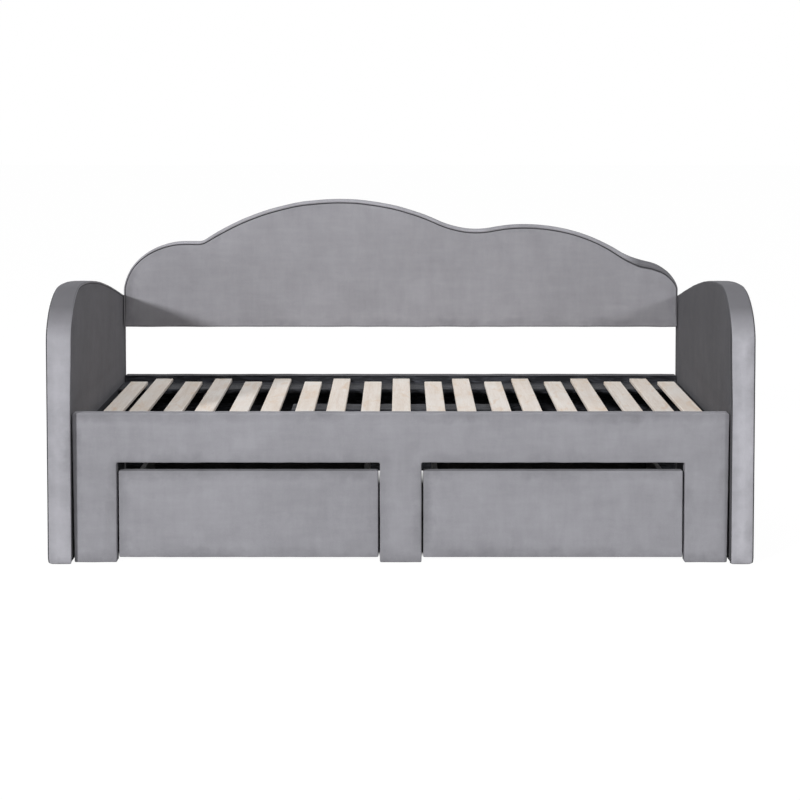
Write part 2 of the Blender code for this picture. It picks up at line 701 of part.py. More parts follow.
bolt_bores = [bolt_bore(side) for side, _ in SIDES]
for (side, word), bore in zip(SIDES, bolt_bores):
    make_arm(side, word, bore)
    make_bolt(side, word)
make_backrest(bolt_bores)
make_rail("front_rail", front_rail_outline(), RAIL_FACE_Y, False, RAIL_PADDING)
rear_outline = rectangle(RAIL_HALF, REAR_RAIL_BOTTOM, REAR_RAIL_TOP, RAIL_CORNER_RADIUS)
make_rail("rear_rail", rear_outline, REAR_RAIL_FACE_Y, True, RAIL_PADDING)
make_deck()
for side, word in SIDES:
    make_drawer(side, word)
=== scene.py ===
# %% [markdown]
# # An upholstered storage daybed
# This lesson dresses a single bed that stands along a wall: two tall padded arms, a wavy
# padded backrest, a padded front rail with two drawers under it, and a deck of loose slats.
# Its boards, slats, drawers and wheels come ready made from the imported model. The padded
# covers there are plain, so each is made anew here, in the very place of the plain one.

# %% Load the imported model
import math

import bpy
import numpy as np
from mathutils.geometry import delaunay_2d_cdt
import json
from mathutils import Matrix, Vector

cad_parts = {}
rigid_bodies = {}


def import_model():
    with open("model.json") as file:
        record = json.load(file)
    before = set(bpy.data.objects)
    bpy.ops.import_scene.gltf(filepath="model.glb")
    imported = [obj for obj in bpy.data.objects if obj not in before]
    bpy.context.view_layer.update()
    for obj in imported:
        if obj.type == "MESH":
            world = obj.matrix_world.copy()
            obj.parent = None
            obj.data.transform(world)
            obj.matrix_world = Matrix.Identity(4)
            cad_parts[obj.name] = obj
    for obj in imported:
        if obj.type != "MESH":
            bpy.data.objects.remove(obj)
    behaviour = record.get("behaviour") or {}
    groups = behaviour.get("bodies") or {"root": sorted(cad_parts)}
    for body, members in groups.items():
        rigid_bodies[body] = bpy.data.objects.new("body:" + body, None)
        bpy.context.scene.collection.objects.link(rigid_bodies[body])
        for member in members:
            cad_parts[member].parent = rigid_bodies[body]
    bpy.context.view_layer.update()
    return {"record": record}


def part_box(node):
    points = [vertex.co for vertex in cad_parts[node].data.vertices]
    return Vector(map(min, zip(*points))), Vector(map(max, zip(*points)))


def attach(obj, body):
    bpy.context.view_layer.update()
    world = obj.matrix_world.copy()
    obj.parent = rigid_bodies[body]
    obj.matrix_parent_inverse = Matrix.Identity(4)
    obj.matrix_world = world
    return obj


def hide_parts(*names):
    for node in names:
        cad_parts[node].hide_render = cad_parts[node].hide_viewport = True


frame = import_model()

# %% [markdown]
# ## The camera
# The photograph was taken from straight in front, from about the height of a person's
# chest. A long lens from well back keeps the two arms nearly parallel. The camera could be
# turned down until the bed fills the frame, but then the arms' upright edges would lean. A
# smaller turn and some vertical shift of the lens keep them upright, as in the photograph.

# %% Place the camera
CAMERA_PLACE = (0.0, -5.8240, 1.3714)
CAMERA_TILT = math.radians(2.868)
CAMERA_LENS = 82.066
CAMERA_SHIFT = (-0.0009, -0.267)
CAMERA_SENSOR = 36.0  # its width in millimetres, which the lens is given for

camera_data = bpy.data.cameras.new("camera")
camera_data.lens = CAMERA_LENS
camera_data.sensor_width = CAMERA_SENSOR
camera_data.shift_x = CAMERA_SHIFT[0]
camera_data.shift_y = CAMERA_SHIFT[1]
camera = bpy.data.objects.new("camera", camera_data)
camera.location = CAMERA_PLACE
camera.rotation_euler = (math.radians(90) - CAMERA_TILT, 0, 0)
bpy.context.scene.collection.objects.link(camera)
bpy.context.scene.camera = camera
bpy.context.scene.view_settings.view_transform = "Standard"
print("camera at", CAMERA_PLACE)

# %% [markdown]
# ## Building blocks for finishes
# A finish is a small network of nodes that ends in one Principled shader. Patterns read
# the object's own coordinates in metres, so that a scale of 100 means a hundred spots in a
# metre. What stays the same all over is set on the shader itself.


# %% Helpers for finishes
def new_finish(name, roughness, specular=0.5, metallic=0.0):
    """An empty finish: its material, its node tree and its shader."""
    material = bpy.data.materials.new(name)
    material.use_nodes = True
    tree = material.node_tree
    shader = tree.nodes["Principled BSDF"]
    shader.inputs["Roughness"].default_value = roughness
    shader.inputs["Specular IOR Level"].default_value = specular
    shader.inputs["Metallic"].default_value = metallic
    return material, tree, shader


def node(tree, kind, inputs=None, **settings):
    """Adds a node. An input is given by name or number, as a value or as a socket."""
    made = tree.nodes.new(kind)
    for key, value in settings.items():
        setattr(made, key, value)
    for key, value in (inputs or {}).items():
        if isinstance(value, bpy.types.NodeSocket):
            tree.links.new(value, made.inputs[key])
        else:
            made.inputs[key].default_value = value
    return made


print("new_finish and node make every finish")


# %% Helpers for patterns
def stretched(tree, scale):
    """The object's own coordinates, stretched by a scale along each axis."""
    place = node(tree, "ShaderNodeTexCoord").outputs["Object"]
    return node(tree, "ShaderNodeMapping", {"Vector": place, "Scale": scale}).outputs[0]


def noise(tree, scale, detail=2.0, roughness=0.5, stretch=(1, 1, 1), twist=0.0):
    """A cloudy pattern from 0 to 1, with about scale clouds in a metre."""
    values = {
        "Vector": stretched(tree, stretch),
        "Scale": scale,
        "Detail": detail,
        "Roughness": roughness,
        "Distortion": twist,
    }
    return node(tree, "ShaderNodeTexNoise", values).outputs["Fac"]


def ranged(tree, value, low, high, to_low, to_high):
    """Moves a value's range from low to high onto another one, and holds it there."""
    values = {0: value, 1: low, 2: high, 3: to_low, 4: to_high}
    return node(tree, "ShaderNodeMapRange", values).outputs[0]


def combined(tree, operation, first, second):
    """Two values put together by plain arithmetic."""
    return node(tree, "ShaderNodeMath", {0: first, 1: second}, operation=operation).outputs[0]


def mingled(tree, share, first, second):
    """Two values mingled: a share of the first and the rest of the second."""
    return node(tree, "ShaderNodeMix", {0: share, 2: second, 3: first}).outputs[0]


def highest(tree, *values):
    """The highest of several values."""
    top = values[0]
    for value in values[1:]:
        top = combined(tree, "MAXIMUM", top, value)
    return top


def mixed(tree, share, first, second):
    """Two colours mixed by a share."""
    values = {0: share, 6: first, 7: second}
    return node(tree, "ShaderNodeMix", values, data_type="RGBA").outputs[2]


def bump(tree, shader, height, strength, distance):
    """Raises the surface's look by a height pattern, distance in metres."""
    values = {"Height": height, "Strength": strength, "Distance": distance}
    made = node(tree, "ShaderNodeBump", values)
    tree.links.new(made.outputs[0], shader.inputs["Normal"])


def shade_of(colour, share):
    """The colour made lighter or darker, as a node's RGBA value."""
    return (*[min(channel * share, 1.0) for channel in colour], 1.0)


print("finish helpers ready")

# %% [markdown]
# ## Velvet
# The covers are a slate grey velvet with a short pile. Where the pile is brushed one way it
# looks lighter, the other way darker, so the cloth has soft blotches as wide as a hand.
# Surfaces that face up are painted darker, as painted shade. The pile could
# be thousands of hairs, but from across a room only its sheen and its fine grain show.
# Sheen on the shader gives the light rim along the padded edges. Each piece's velvet is the
# same grey painted lighter or darker, as painted light and shade: the bands that run round
# the arms and the backrest are painted lighter than the faces, the right arm's band more
# than the left's, and the arms' inner faces are painted darker. The seams' velvet is painted
# nearly black, as painted shade down in the groove where the two cloths turn inwards. Lower
# than the slats the arms' inner faces are painted black, a painted shadow in place of velvet.
# Near the edges, and in a few given places, the velvet is painted darker in patches, as
# painted shade.

# %% Velvet finish
VELVET_GREY = (0.315, 0.312, 0.338)
EDGE_ATTRIBUTE = "from_edge"
# The clouds of the pile: how many in a metre, their detail, roughness, stretch, twist and weight.
PILE_CLOUDS = (
    (3.1, 3, 0.55, (1, 1, 1), 0.6, 0.28),
    (15, 3, 0.6, (1, 1, 1), 0.4, 0.22),
    (46, 3, 0.65, (0.16, 0.16, 1), 0.0, 0.14),
    (46, 3, 0.65, (1, 1, 0.16), 0.0, 0.14),
    (620, 2, 0.6, (1, 1, 1), 0.0, 0.22),
)
CLOUD_RANGE = (0.34, 0.66)  # between these a cloud goes from fully dark to fully light
PILE_TONES = (0.83, 1.17)  # the darkest and the lightest pile, as shares of the grey
PAINTED_SHADE_TONE = 0.30  # the colour of all painted shade, as a share of the grey
EDGE_SHADE_REACH = (0.002, 0.034)  # painted edge shade: full this far from an edge, and none from there on
THREADS = 190  # in a metre
PILE_HEIGHT = 0.0007


def place_in_object(tree):
    """How far across, deep and up a point lies, in the object's own coordinates."""
    place = node(tree, "ShaderNodeTexCoord").outputs["Object"]
    return node(tree, "ShaderNodeSeparateXYZ", {0: place}).outputs


def velvet(name, share, upward_shade=0.85, more_shade=None):
    """The velvet, painted lighter or darker by a share: painted light on some pieces and painted
    shade on others.

    Its third argument tells how much darker it is painted where it faces up, as painted shade.
    Near the edges it is painted a little darker too, in patches, as painted edge shade. Its
    fourth is a function that adds more painted shade in given places.
    """
    material, tree, shader = new_finish(name, 0.9, 0.15)
    clouds = [noise(tree, *values[:-1]) for values in PILE_CLOUDS]
    light = 0.0
    for cloud, values in zip(clouds, PILE_CLOUDS):
        light = combined(tree, "ADD", ranged(tree, cloud, *CLOUD_RANGE, 0.0, values[-1]), light)
    dark, pale = (shade_of(VELVET_GREY, share * tone) for tone in PILE_TONES)
    colour = mixed(tree, light, dark, pale)

    # Painted edge shade: darker in patches within a few centimetres of an edge. pressed holds all
    # the painted shade.
    inside = node(tree, "ShaderNodeAttribute", attribute_name=EDGE_ATTRIBUTE).outputs["Fac"]
    ragged = ranged(tree, noise(tree, 21, 3, 0.6), 0.3, 0.7, -0.012, 0.014)
    pressed = ranged(tree, combined(tree, "ADD", inside, ragged), *EDGE_SHADE_REACH, 1, 0)
    patches = ranged(tree, noise(tree, 5, 2, 0.5), 0.35, 0.65, 0.05, 0.34)
    pressed = combined(tree, "MULTIPLY", pressed, patches)
    # Painted shade: the velvet is painted darker where it faces up, and in the given places.
    normal = node(tree, "ShaderNodeNewGeometry").outputs["Normal"]
    upward = node(tree, "ShaderNodeSeparateXYZ", {0: normal}).outputs[2]
    pressed = highest(tree, pressed, ranged(tree, upward, 0.0, 0.8, 0.0, upward_shade))
    if more_shade:
        pressed = highest(tree, pressed, more_shade(tree))
    colour = mixed(tree, pressed, colour, shade_of(VELVET_GREY, PAINTED_SHADE_TONE))
    tree.links.new(colour, shader.inputs["Base Color"])

    weave = {"Vector": stretched(tree, (1, 1, 1)), "Scale": THREADS, "Distortion": 1.5, "Detail": 1}
    threads = node(tree, "ShaderNodeTexWave", weave, bands_direction="DIAGONAL").outputs["Fac"]
    height = combined(tree, "ADD", clouds[-1], combined(tree, "MULTIPLY", threads, 0.35))
    height = combined(tree, "ADD", height, combined(tree, "MULTIPLY", light, 2.0))
    bump(tree, shader, height, 0.35, PILE_HEIGHT)
    shader.inputs["Sheen Weight"].default_value = 0.05
    shader.inputs["Sheen Roughness"].default_value = 0.4
    shader.inputs["Sheen Tint"].default_value = (0.92, 0.93, 1.0, 1.0)
    return material


print("layers of cloud in the pile:", len(PILE_CLOUDS))

# %% Places of painted shade
LEFT_END_SHADE = (-0.965, -0.915)  # across: painted shade full at the first, and none at the second
# Across: the band's painted shade starts at the first and is full at the second.
BAND_END_SHADE = (0.77, 0.83)
# The painted shade near the floor is gone at this height.
FOOT_SHADE_HEIGHT = 0.036
BAND_TOP_SHADE = (-0.43, -0.27)  # in depth: the painted shade grows from the first to the second
SLATS_SHADOW_REACH = 0.489  # the painted shadow ends this far to the front and rear of the bed's middle
SLATS_UNDERSIDE = 0.369
# The lining's black, which also paints the shadow below the slats.
LINING_AND_SHADOW_BLACK = (0.022, 0.023, 0.028)


def painted_left_end_shade(tree):
    """Painted shade on the backrest's left end: its last few centimetres are darker."""
    across = place_in_object(tree)[0]
    ragged = ranged(tree, noise(tree, 26, 3, 0.6, stretch=(1, 1, 0.5)), 0.3, 0.7, -0.012, 0.02)
    return ranged(tree, combined(tree, "ADD", across, ragged), *LEFT_END_SHADE, 0.5, 0)


def painted_band_end_shade(tree):
    """Painted shade on the band's right end, where it slopes away from the light."""
    return ranged(tree, place_in_object(tree)[0], *BAND_END_SHADE, 0, 0.75)


def painted_foot_shade(tree):
    """Painted shade on the lowest few centimetres, near the floor."""
    ragged = ranged(tree, noise(tree, 34, 3, 0.6), 0.3, 0.7, -0.008, 0.012)
    height = combined(tree, "ADD", place_in_object(tree)[2], ragged)
    return ranged(tree, height, 0.0, FOOT_SHADE_HEIGHT, 0.34, 0)


def painted_band_shade(tree):
    """The arm band's painted shade: its foot, and the top behind the crown."""
    behind = ranged(tree, place_in_object(tree)[1], *BAND_TOP_SHADE, 0, 0.50)
    return highest(tree, behind, painted_foot_shade(tree))


def below_slats(tree):
    """The part of an arm's inner face that lies lower than the slats, between the rails, where a
    shadow is painted.
    """
    axes = place_in_object(tree)
    low = combined(tree, "LESS_THAN", axes[2], SLATS_UNDERSIDE)
    from_middle = combined(tree, "ABSOLUTE", axes[1], 0.0)
    return combined(tree, "MULTIPLY", low, combined(tree, "LESS_THAN", from_middle, SLATS_SHADOW_REACH))


def painted_shadow_below(material):
    """Paints a velvet black below the slats, as a painted shadow beside the deck."""
    tree = material.node_tree
    socket = tree.nodes["Principled BSDF"].inputs["Base Color"]
    colour = socket.links[0].from_socket
    tree.links.new(mixed(tree, below_slats(tree), colour, shade_of(LINING_AND_SHADOW_BLACK, 1.0)), socket)
    return material


print("places of painted shade ready")

# %% The velvets
# The shares paint light and shade: the bands are painted lighter, the right band more than the left,
# and the arms' inner faces darker.
LEFT_BAND_LIT_VELVET = velvet("left band lit velvet", 1.42, 0.82, painted_band_shade)
RIGHT_BAND_LIT_VELVET = velvet("right band lit velvet", 1.58, 0.82, painted_band_shade)
ARM_OUTER_VELVET = velvet("arm outer velvet", 1.05)
LEFT_INNER_SHADED_VELVET = painted_shadow_below(velvet("left inner shaded velvet", 0.48))
RIGHT_INNER_SHADED_VELVET = painted_shadow_below(velvet("right inner shaded velvet", 0.28))
BACKREST_BAND_LIT_VELVET = velvet("backrest band lit velvet", 1.22, 0.0, painted_band_end_shade)
BACKREST_VELVET = velvet("backrest velvet", 1.0, 0.3, painted_left_end_shade)
RAIL_VELVET = velvet("rail velvet", 1.06, 0.0, painted_foot_shade)
REAR_RAIL_VELVET = velvet("rear rail velvet", 1.0)
# The seams' velvet is painted nearly black, as painted shade in their grooves.
SEAM_SHADE_VELVET = velvet("seam shade velvet", 0.20)
print("velvets:", sum("velvet" in material.name for material in bpy.data.materials))

# %% [markdown]
# ## Outlines
# Each padded piece is flat like a door, so its shape starts as an outline. An outline is
# a table of corners: how far across, how far up, and the radius that rounds the corner.
# Whole columns of that table are worked out at once with numpy.


# %% Round and draw in an outline
LEAST_RADIUS = 0.0004  # no rounded corner gets smaller than this when it is drawn in


def unit(vectors):
    """The vectors, each divided by its own length."""
    return vectors / np.linalg.norm(vectors, axis=-1, keepdims=True)


def rounded(corners, steps=8):
    """Points along an outline whose corners are rounded.

    The arc touches both sides of its corner. Its centre lies on their bisector, the radius
    over the sine of half the corner's angle away, and its points turn by equal angles.
    """
    place = corners[:, :2]
    before = np.roll(place, 1, axis=0) - place
    after = np.roll(place, -1, axis=0) - place
    bent = np.flatnonzero(corners[:, 2] > 0)
    before = unit(before[bent])
    after = unit(after[bent])
    radius = corners[bent, 2][:, None]
    half = np.arccos((before * after).sum(axis=1))[:, None] / 2
    centre = place[bent] + unit(before + after) * radius / np.sin(half)
    first = place[bent] + before * radius / np.tan(half) - centre
    last = place[bent] + after * radius / np.tan(half) - centre
    whole = (np.pi - 2 * half)[:, None]
    share = np.linspace(0, 1, steps + 1)[None, :, None]
    turned = first[:, None] * np.sin(whole * (1 - share)) + last[:, None] * np.sin(whole * share)
    arcs = centre[:, None] + turned / np.sin(whole)
    arc_order = bent[:, None] + share[0, :, 0] / 2
    plain = np.flatnonzero(corners[:, 2] <= 0)
    points = np.concatenate((place[plain], arcs.reshape(-1, 2)))
    order = np.concatenate((plain, arc_order.ravel()))
    return points[np.argsort(order, kind="stable")]


def drawn_in(corners, distance):
    """The corners moved inwards by a distance from both of their sides.

    An outer corner's radius shrinks by the distance and an inner corner's grows by it.
    """
    place = corners[:, :2]
    before = unit(place - np.roll(place, 1, axis=0))
    after = unit(np.roll(place, -1, axis=0) - place)
    normals = np.stack((-before[:, 1] - after[:, 1], before[:, 0] + after[:, 0]), axis=1)
    share = 1 + (before * after).sum(axis=1)
    moved = place + normals / share[:, None] * distance
    outer = before[:, 0] * after[:, 1] > before[:, 1] * after[:, 0]
    radius = np.where(outer, corners[:, 2] - distance, corners[:, 2] + distance)
    radius = np.where(corners[:, 2] > 0, np.maximum(radius, LEAST_RADIUS), 0)
    return np.column_stack((moved, radius))


print("outlines can be rounded and drawn in")


# %% Stations along an outline
def stations(points, spacing, turn):
    """Where to stand along a closed line: even steps, and closer ones where it bends.

    Each stretch counts as its length over the spacing plus its bend over the turn, and the
    stations divide the running total evenly. Returns each one's stretch and share along it.
    """
    step = np.roll(points, -1, axis=0) - points
    heading = np.arctan2(step[:, 1], step[:, 0])
    bend = np.abs((heading - np.roll(heading, 1) + np.pi) % (2 * np.pi) - np.pi)
    bend = (bend + np.roll(bend, -1)) / 2
    measure = np.linalg.norm(step, axis=1) / spacing + bend / turn
    edge = np.concatenate(([0], np.cumsum(measure)))
    count = round(edge[-1])
    target = np.arange(count) * edge[-1] / count
    stretch = np.clip(np.searchsorted(edge, target, side="right") - 1, 0, len(points) - 1)
    return stretch, (target - edge[stretch]) / measure[stretch]


print("stations crowd where an outline bends")

# %% Distance to an outline
POINTS_AT_ONCE = 1500  # how many are measured together, which keeps the tables small
WAVE_CREST = 2.2  # a sum of waves is cut off at this many times its usual size


def depth_inside(points, line):
    """How far each point lies inside a closed line, less than 0 outside it.

    The distance is the shortest one to any stretch of the line. A point is inside where a
    ray to its right crosses the line an odd number of times.
    """
    step = np.roll(line, -1, axis=0) - line
    following = np.roll(line, -1, axis=0)
    result = np.empty(len(points))
    for rows in np.array_split(np.arange(len(points)), len(points) // POINTS_AT_ONCE + 1):
        away = points[rows][:, None] - line[None]
        share = np.clip((away * step).sum(axis=-1) / (step**2).sum(axis=-1), 0, 1)
        nearest = np.linalg.norm(away - share[..., None] * step, axis=-1).min(axis=1)
        level = points[rows, 1][:, None]
        crosses = (line[:, 1] > level) != (following[:, 1] > level)
        rise = np.where(step[:, 1] == 0, 1, step[:, 1])
        place = line[:, 0] + (level - line[:, 1]) * step[:, 0] / rise
        inside = (crosses & (place > points[rows, 0][:, None])).sum(axis=1) % 2
        result[rows] = np.where(inside == 1, nearest, -nearest)
    return result


def eased(share):
    """From 0 to 1 with a level start and end: three squares less two cubes."""
    share = np.clip(share, 0, 1)
    return 3 * share**2 - 2 * share**3


def waves(places, seed, shortest, longest, count=14):
    """Gentle random waves from -1 to 1: the mean of sines that run in seeded directions.

    places is a table with one row for each point, and the wavelengths lie between
    shortest and longest, in metres.
    """
    chance = np.random.default_rng(seed)
    direction = unit(chance.normal(size=(places.shape[1], count)).T).T
    length = np.exp(chance.uniform(np.log(shortest), np.log(longest), count))
    phase = chance.uniform(0, 2 * np.pi, count)
    total = np.sin(places @ direction * 2 * np.pi / length + phase).sum(axis=1)
    return np.clip(total / np.sqrt(count / 2) / WAVE_CREST, -1, 1)


print("an outline's middle is found with depth_inside")

# %% [markdown]
# ## A padded panel
# An upholsterer wraps foam and velvet over a board. Seen from the side, the cover starts
# on the face, rolls over the edge and ends behind. That path across the edge is the
# profile, and it is carried all the way round the outline. The face inside is filled with
# points on a grid, which sink a little towards the edge, because the velvet is pulled
# tight there. A seam is a groove in the profile: the two cloths turn inwards at it.

# %% Where a panel stands
# Across, up and into the depth, as seen from the side that the panel faces.
FACING = {
    "front": ((1, 0, 0), (0, 0, 1), (0, 1, 0)),
    "rear": ((-1, 0, 0), (0, 0, 1), (0, -1, 0)),
    "right": ((0, 1, 0), (0, 0, 1), (-1, 0, 0)),
}


SAME_PLACE = 1e-7  # points of a face that are closer than this count as one


def new_piece(name, points, faces, *materials):
    """An object at the origin with smooth faces and its place in its mesh."""
    mesh = bpy.data.meshes.new(name)
    mesh.from_pydata(points.tolist(), [], faces)
    mesh.shade_smooth()
    for material in materials:
        mesh.materials.append(material)
    piece = bpy.data.objects.new(name, mesh)
    bpy.context.scene.collection.objects.link(piece)
    return piece


def quads_between(first, second):
    """Four-sided faces between two closed rings of point numbers."""
    return np.stack((first, second, np.roll(second, -1), np.roll(first, -1)), axis=1).tolist()


def filled(ring, inner):
    """Triangles that fill a closed ring of points through the points inside it."""
    places = np.concatenate((ring, inner)).tolist()
    result = delaunay_2d_cdt(places, [], [list(range(len(ring)))], 1, SAME_PLACE)
    if len(result[0]) != len(places):
        raise ValueError("two points of a panel's face fell together")
    return np.array(result[2])


print("a panel can face:", ", ".join(FACING))


# %% The rings round a panel's edge
EDGE_STEP = 0.010  # between the points of an outline where it runs straight
EDGE_TURN = math.radians(15)  # the outline bends by no more than this between two points
RING_STEP = 0.001  # how far in a second ring is drawn, to find the way inwards
EDGE_SWAY = 0.0005
EDGE_WAVES = (0.05, 0.30)  # the shortest and the longest wave along an edge
BAND_GAIN = 1.6  # how strongly the band follows where the seam wanders
LEAST_GAIN = 0.3


def edge_rings(corners, profile, options):
    """The outline, and the profile carried round it as a table of rings.

    Each ring is the outline drawn in by the profile's distance, and soft waves push it
    inwards. The option spread multiplies the distance by a share for each point, and the
    rings of the option band then lie deeper or less deep too: the band's last depth times
    one less a power, which is the share still missing to the last depth, raised to the
    gain of the spread.
    """
    base = rounded(corners)
    stretch, share = stations(base, EDGE_STEP, EDGE_TURN)
    share = share[:, None]

    def ring_at(distance):
        line = rounded(drawn_in(corners, distance)) if distance else base
        return line[stretch] * (1 - share) + line[(stretch + 1) % len(line)] * share

    def inward(distance):
        return (ring_at(distance + RING_STEP) - ring_at(distance)) / RING_STEP

    outline = ring_at(0)
    unit_step = inward(0)
    sway = options.get("edge_wave", EDGE_SWAY) * (1 + waves(outline, options["seed"], *EDGE_WAVES))
    spread = options.get("spread", lambda places: None)(outline)
    rings = []
    for number, (distance, depth) in enumerate(profile):
        depths = np.full(len(outline), depth)
        if spread is None:
            ring = ring_at(distance) + inward(distance) * sway[:, None]
        else:
            ring = outline + unit_step * (distance * spread + sway)[:, None]
            if options["band"][0] <= number < options["band"][1]:
                last = profile[options["band"][1] - 1][1]
                gain = np.maximum(1 + (spread - 1) * BAND_GAIN, LEAST_GAIN)
                depths = last * (1 - (1 - depth / last) ** gain)
        rings.append(np.column_stack((ring, depths)))
    return outline, np.stack(rings)


print("an edge's points lie at most", EDGE_STEP, "m apart")

# %% The face inside the rings
FACE_SPACING = 0.014  # between the points of a face's grid
ROW_FIT_SHARE = 0.98  # a row's point has to lie at least this share of its depth inside
GRID_START_SHARE = 0.37  # where the grid starts, as a share of the spacing
GRID_ROOM_SHARE = 0.7  # and its least room to the last row
CROWN_RUN = 0.060
RELIEF = 0.0007
RELIEF_FADE = 0.03
RELIEF_WAVES = (0.07, 0.45)


def inner_points(line, ring, rows):
    """Points to fill a face with: a few rows that follow the edge, then an even grid.

    A point is kept where it lies as deep inside the outline as its row should be.
    """
    tangent = np.roll(ring, -1, axis=0) - np.roll(ring, 1, axis=0)
    inward = unit(np.stack((-tangent[:, 1], tangent[:, 0]), axis=1))
    kept = []
    for row in rows:
        step = ring[::2] + inward[::2] * row
        kept.append(step[depth_inside(step, ring) > row * ROW_FIT_SHARE])
    low = ring.min(axis=0)
    count = np.ceil((ring.max(axis=0) - low) / FACE_SPACING).astype(int)
    grid = np.stack(np.meshgrid(np.arange(count[0]), np.arange(count[1])), axis=-1).reshape(-1, 2)
    grid = low + grid * FACE_SPACING + FACE_SPACING * GRID_START_SHARE
    kept.append(grid[depth_inside(grid, ring) > rows[-1] + FACE_SPACING * GRID_ROOM_SHARE])
    inner = np.concatenate(kept)
    return inner, depth_inside(inner, line)


def crowned_face(outline, ring, edge, seed, options):
    """Points inside a ring, how far each is sunk, and how far it lies from the outline.

    edge is the ring's distance from the outline and its sink. The sink fades to 0 over the
    crown's run, by the eased curve, and soft waves are added where the crown has faded in.
    """
    inner, deep = inner_points(outline, ring, options["rows"])
    run = deep - edge[0]
    sink = edge[1] * (1 - eased(run / options.get("crown_run", CROWN_RUN)))
    soft = options.get("relief", RELIEF) * (1 + waves(inner, seed, *RELIEF_WAVES))
    return inner, sink + soft * eased(run / RELIEF_FADE), deep


print("a face's points lie", FACE_SPACING, "m apart")

# %% Make a padded panel
POCKET_RINGS = 5  # how many of a wrapped cover's last rings are the pocket for its board


def padded_panel(name, corners, face, facing, profile, cloths, **options):
    """A closed padded panel.

    profile is a table of how far in from the outline and how deep behind the face each
    ring lies, from the face's edge round to the back. cloths are the velvets, and the
    option cloth_rings tells from which ring on each of them but the first is used. The
    last one is the back's. Each point's distance from the nearest edge is kept for the
    velvet's finish.
    """
    thickness = options["thickness"]
    outline, table = edge_rings(corners, profile, options)
    ring = table[0, :, :2]
    front, sunk, front_deep = crowned_face(outline, ring, profile[0], options["seed"] + 1, options)
    front_faces = filled(ring, front)
    front = np.column_stack((front, sunk))

    ring = table[-1, :, :2]
    back = np.empty((0, 2))
    sunk = back_deep = np.empty(0)
    if not options.get("pocket"):
        edge = (profile[-1][0], thickness - profile[-1][1])
        back, sunk, back_deep = crowned_face(outline, ring, edge, options["seed"] + 2, options)
    back_faces = filled(ring, back)[:, ::-1]
    back = np.column_stack((back, thickness - sunk))

    count = len(outline)
    ring_total = len(table) * count
    numbers = np.arange(ring_total).reshape(len(table), count)
    front_numbers = np.concatenate((numbers[0], ring_total + np.arange(len(front))))
    back_numbers = np.concatenate((numbers[-1], ring_total + len(front) + np.arange(len(back))))
    faces = front_numbers[front_faces].tolist() + back_numbers[back_faces].tolist()
    for first, second in zip(numbers[:-1], numbers[1:]):
        faces += quads_between(first, second)
    flat = np.concatenate((table.reshape(-1, 3), front, back))
    axes = np.array(FACING[facing], dtype=float)
    points = flat @ axes + np.abs(axes[2]) * face
    piece = new_piece(name, points, faces, *cloths)

    ring_edge = np.array(profile)[:, :1] + np.minimum(table[..., 2], thickness - table[..., 2])
    if options.get("pocket"):
        ring_edge[-POCKET_RINGS:] = 0
    from_edge = np.concatenate((ring_edge.ravel(), front_deep, back_deep))
    edge_layer = piece.data.attributes.new(EDGE_ATTRIBUTE, "FLOAT", "POINT")
    edge_layer.data.foreach_set("value", from_edge.astype(np.float32))
    if len(cloths) > 1:
        changes = np.array(options["cloth_rings"])
        strips = np.repeat(np.arange(len(table) - 1), count)
        cloth = (strips[:, None] >= changes).sum(axis=1)
        fills = np.repeat((0, len(changes)), (len(front_faces), len(back_faces)))
        piece.data.polygons.foreach_set("material_index", np.concatenate((fills, cloth)))
    print(name, "points:", len(points), "faces:", len(faces))
    return piece


print("padded_panel makes the covers")

# %% [markdown]
# ## Let the cloth settle
# The velvet was cut a little larger than its face and pulled over soft wadding, so between
# its seams it rises and ripples slightly. Carving such ripples by hand looks wrong, so each
# face is simulated as cloth for a moment: held at its edges, pushed outwards by the wadding
# as if by air, and a little too large for its place. What moved is then held back to less
# than the wadding's thickness and kept.

# %% How far a cover may settle
SETTLE_FRAMES = 20
SETTLE_RISE = 0.0022  # the furthest that a point may rise, and slide
SETTLE_SLIDE = 0.0008
SETTLE_SLACK = 0.0008  # how much too large the cloth is, as a share
PINNED_EDGE = 0.012  # fully pinned up to here from the edge, then less and less over the run
PINNED_RUN = 0.03
PIN_LEVELS = 8  # how many steps there are between free and fully pinned
CLOTH_MASS = 0.15
CLOTH_STIFFNESS = 0.3
WADDING_PRESSURE = 1.0
print("covers settle for", SETTLE_FRAMES, "frames")


# %% Run the cloth
def coordinates(mesh):
    """A mesh's points as a table with one row for each."""
    values = np.empty(len(mesh.vertices) * 3, dtype=np.float32)
    mesh.vertices.foreach_get("co", values)
    return values.reshape(-1, 3)


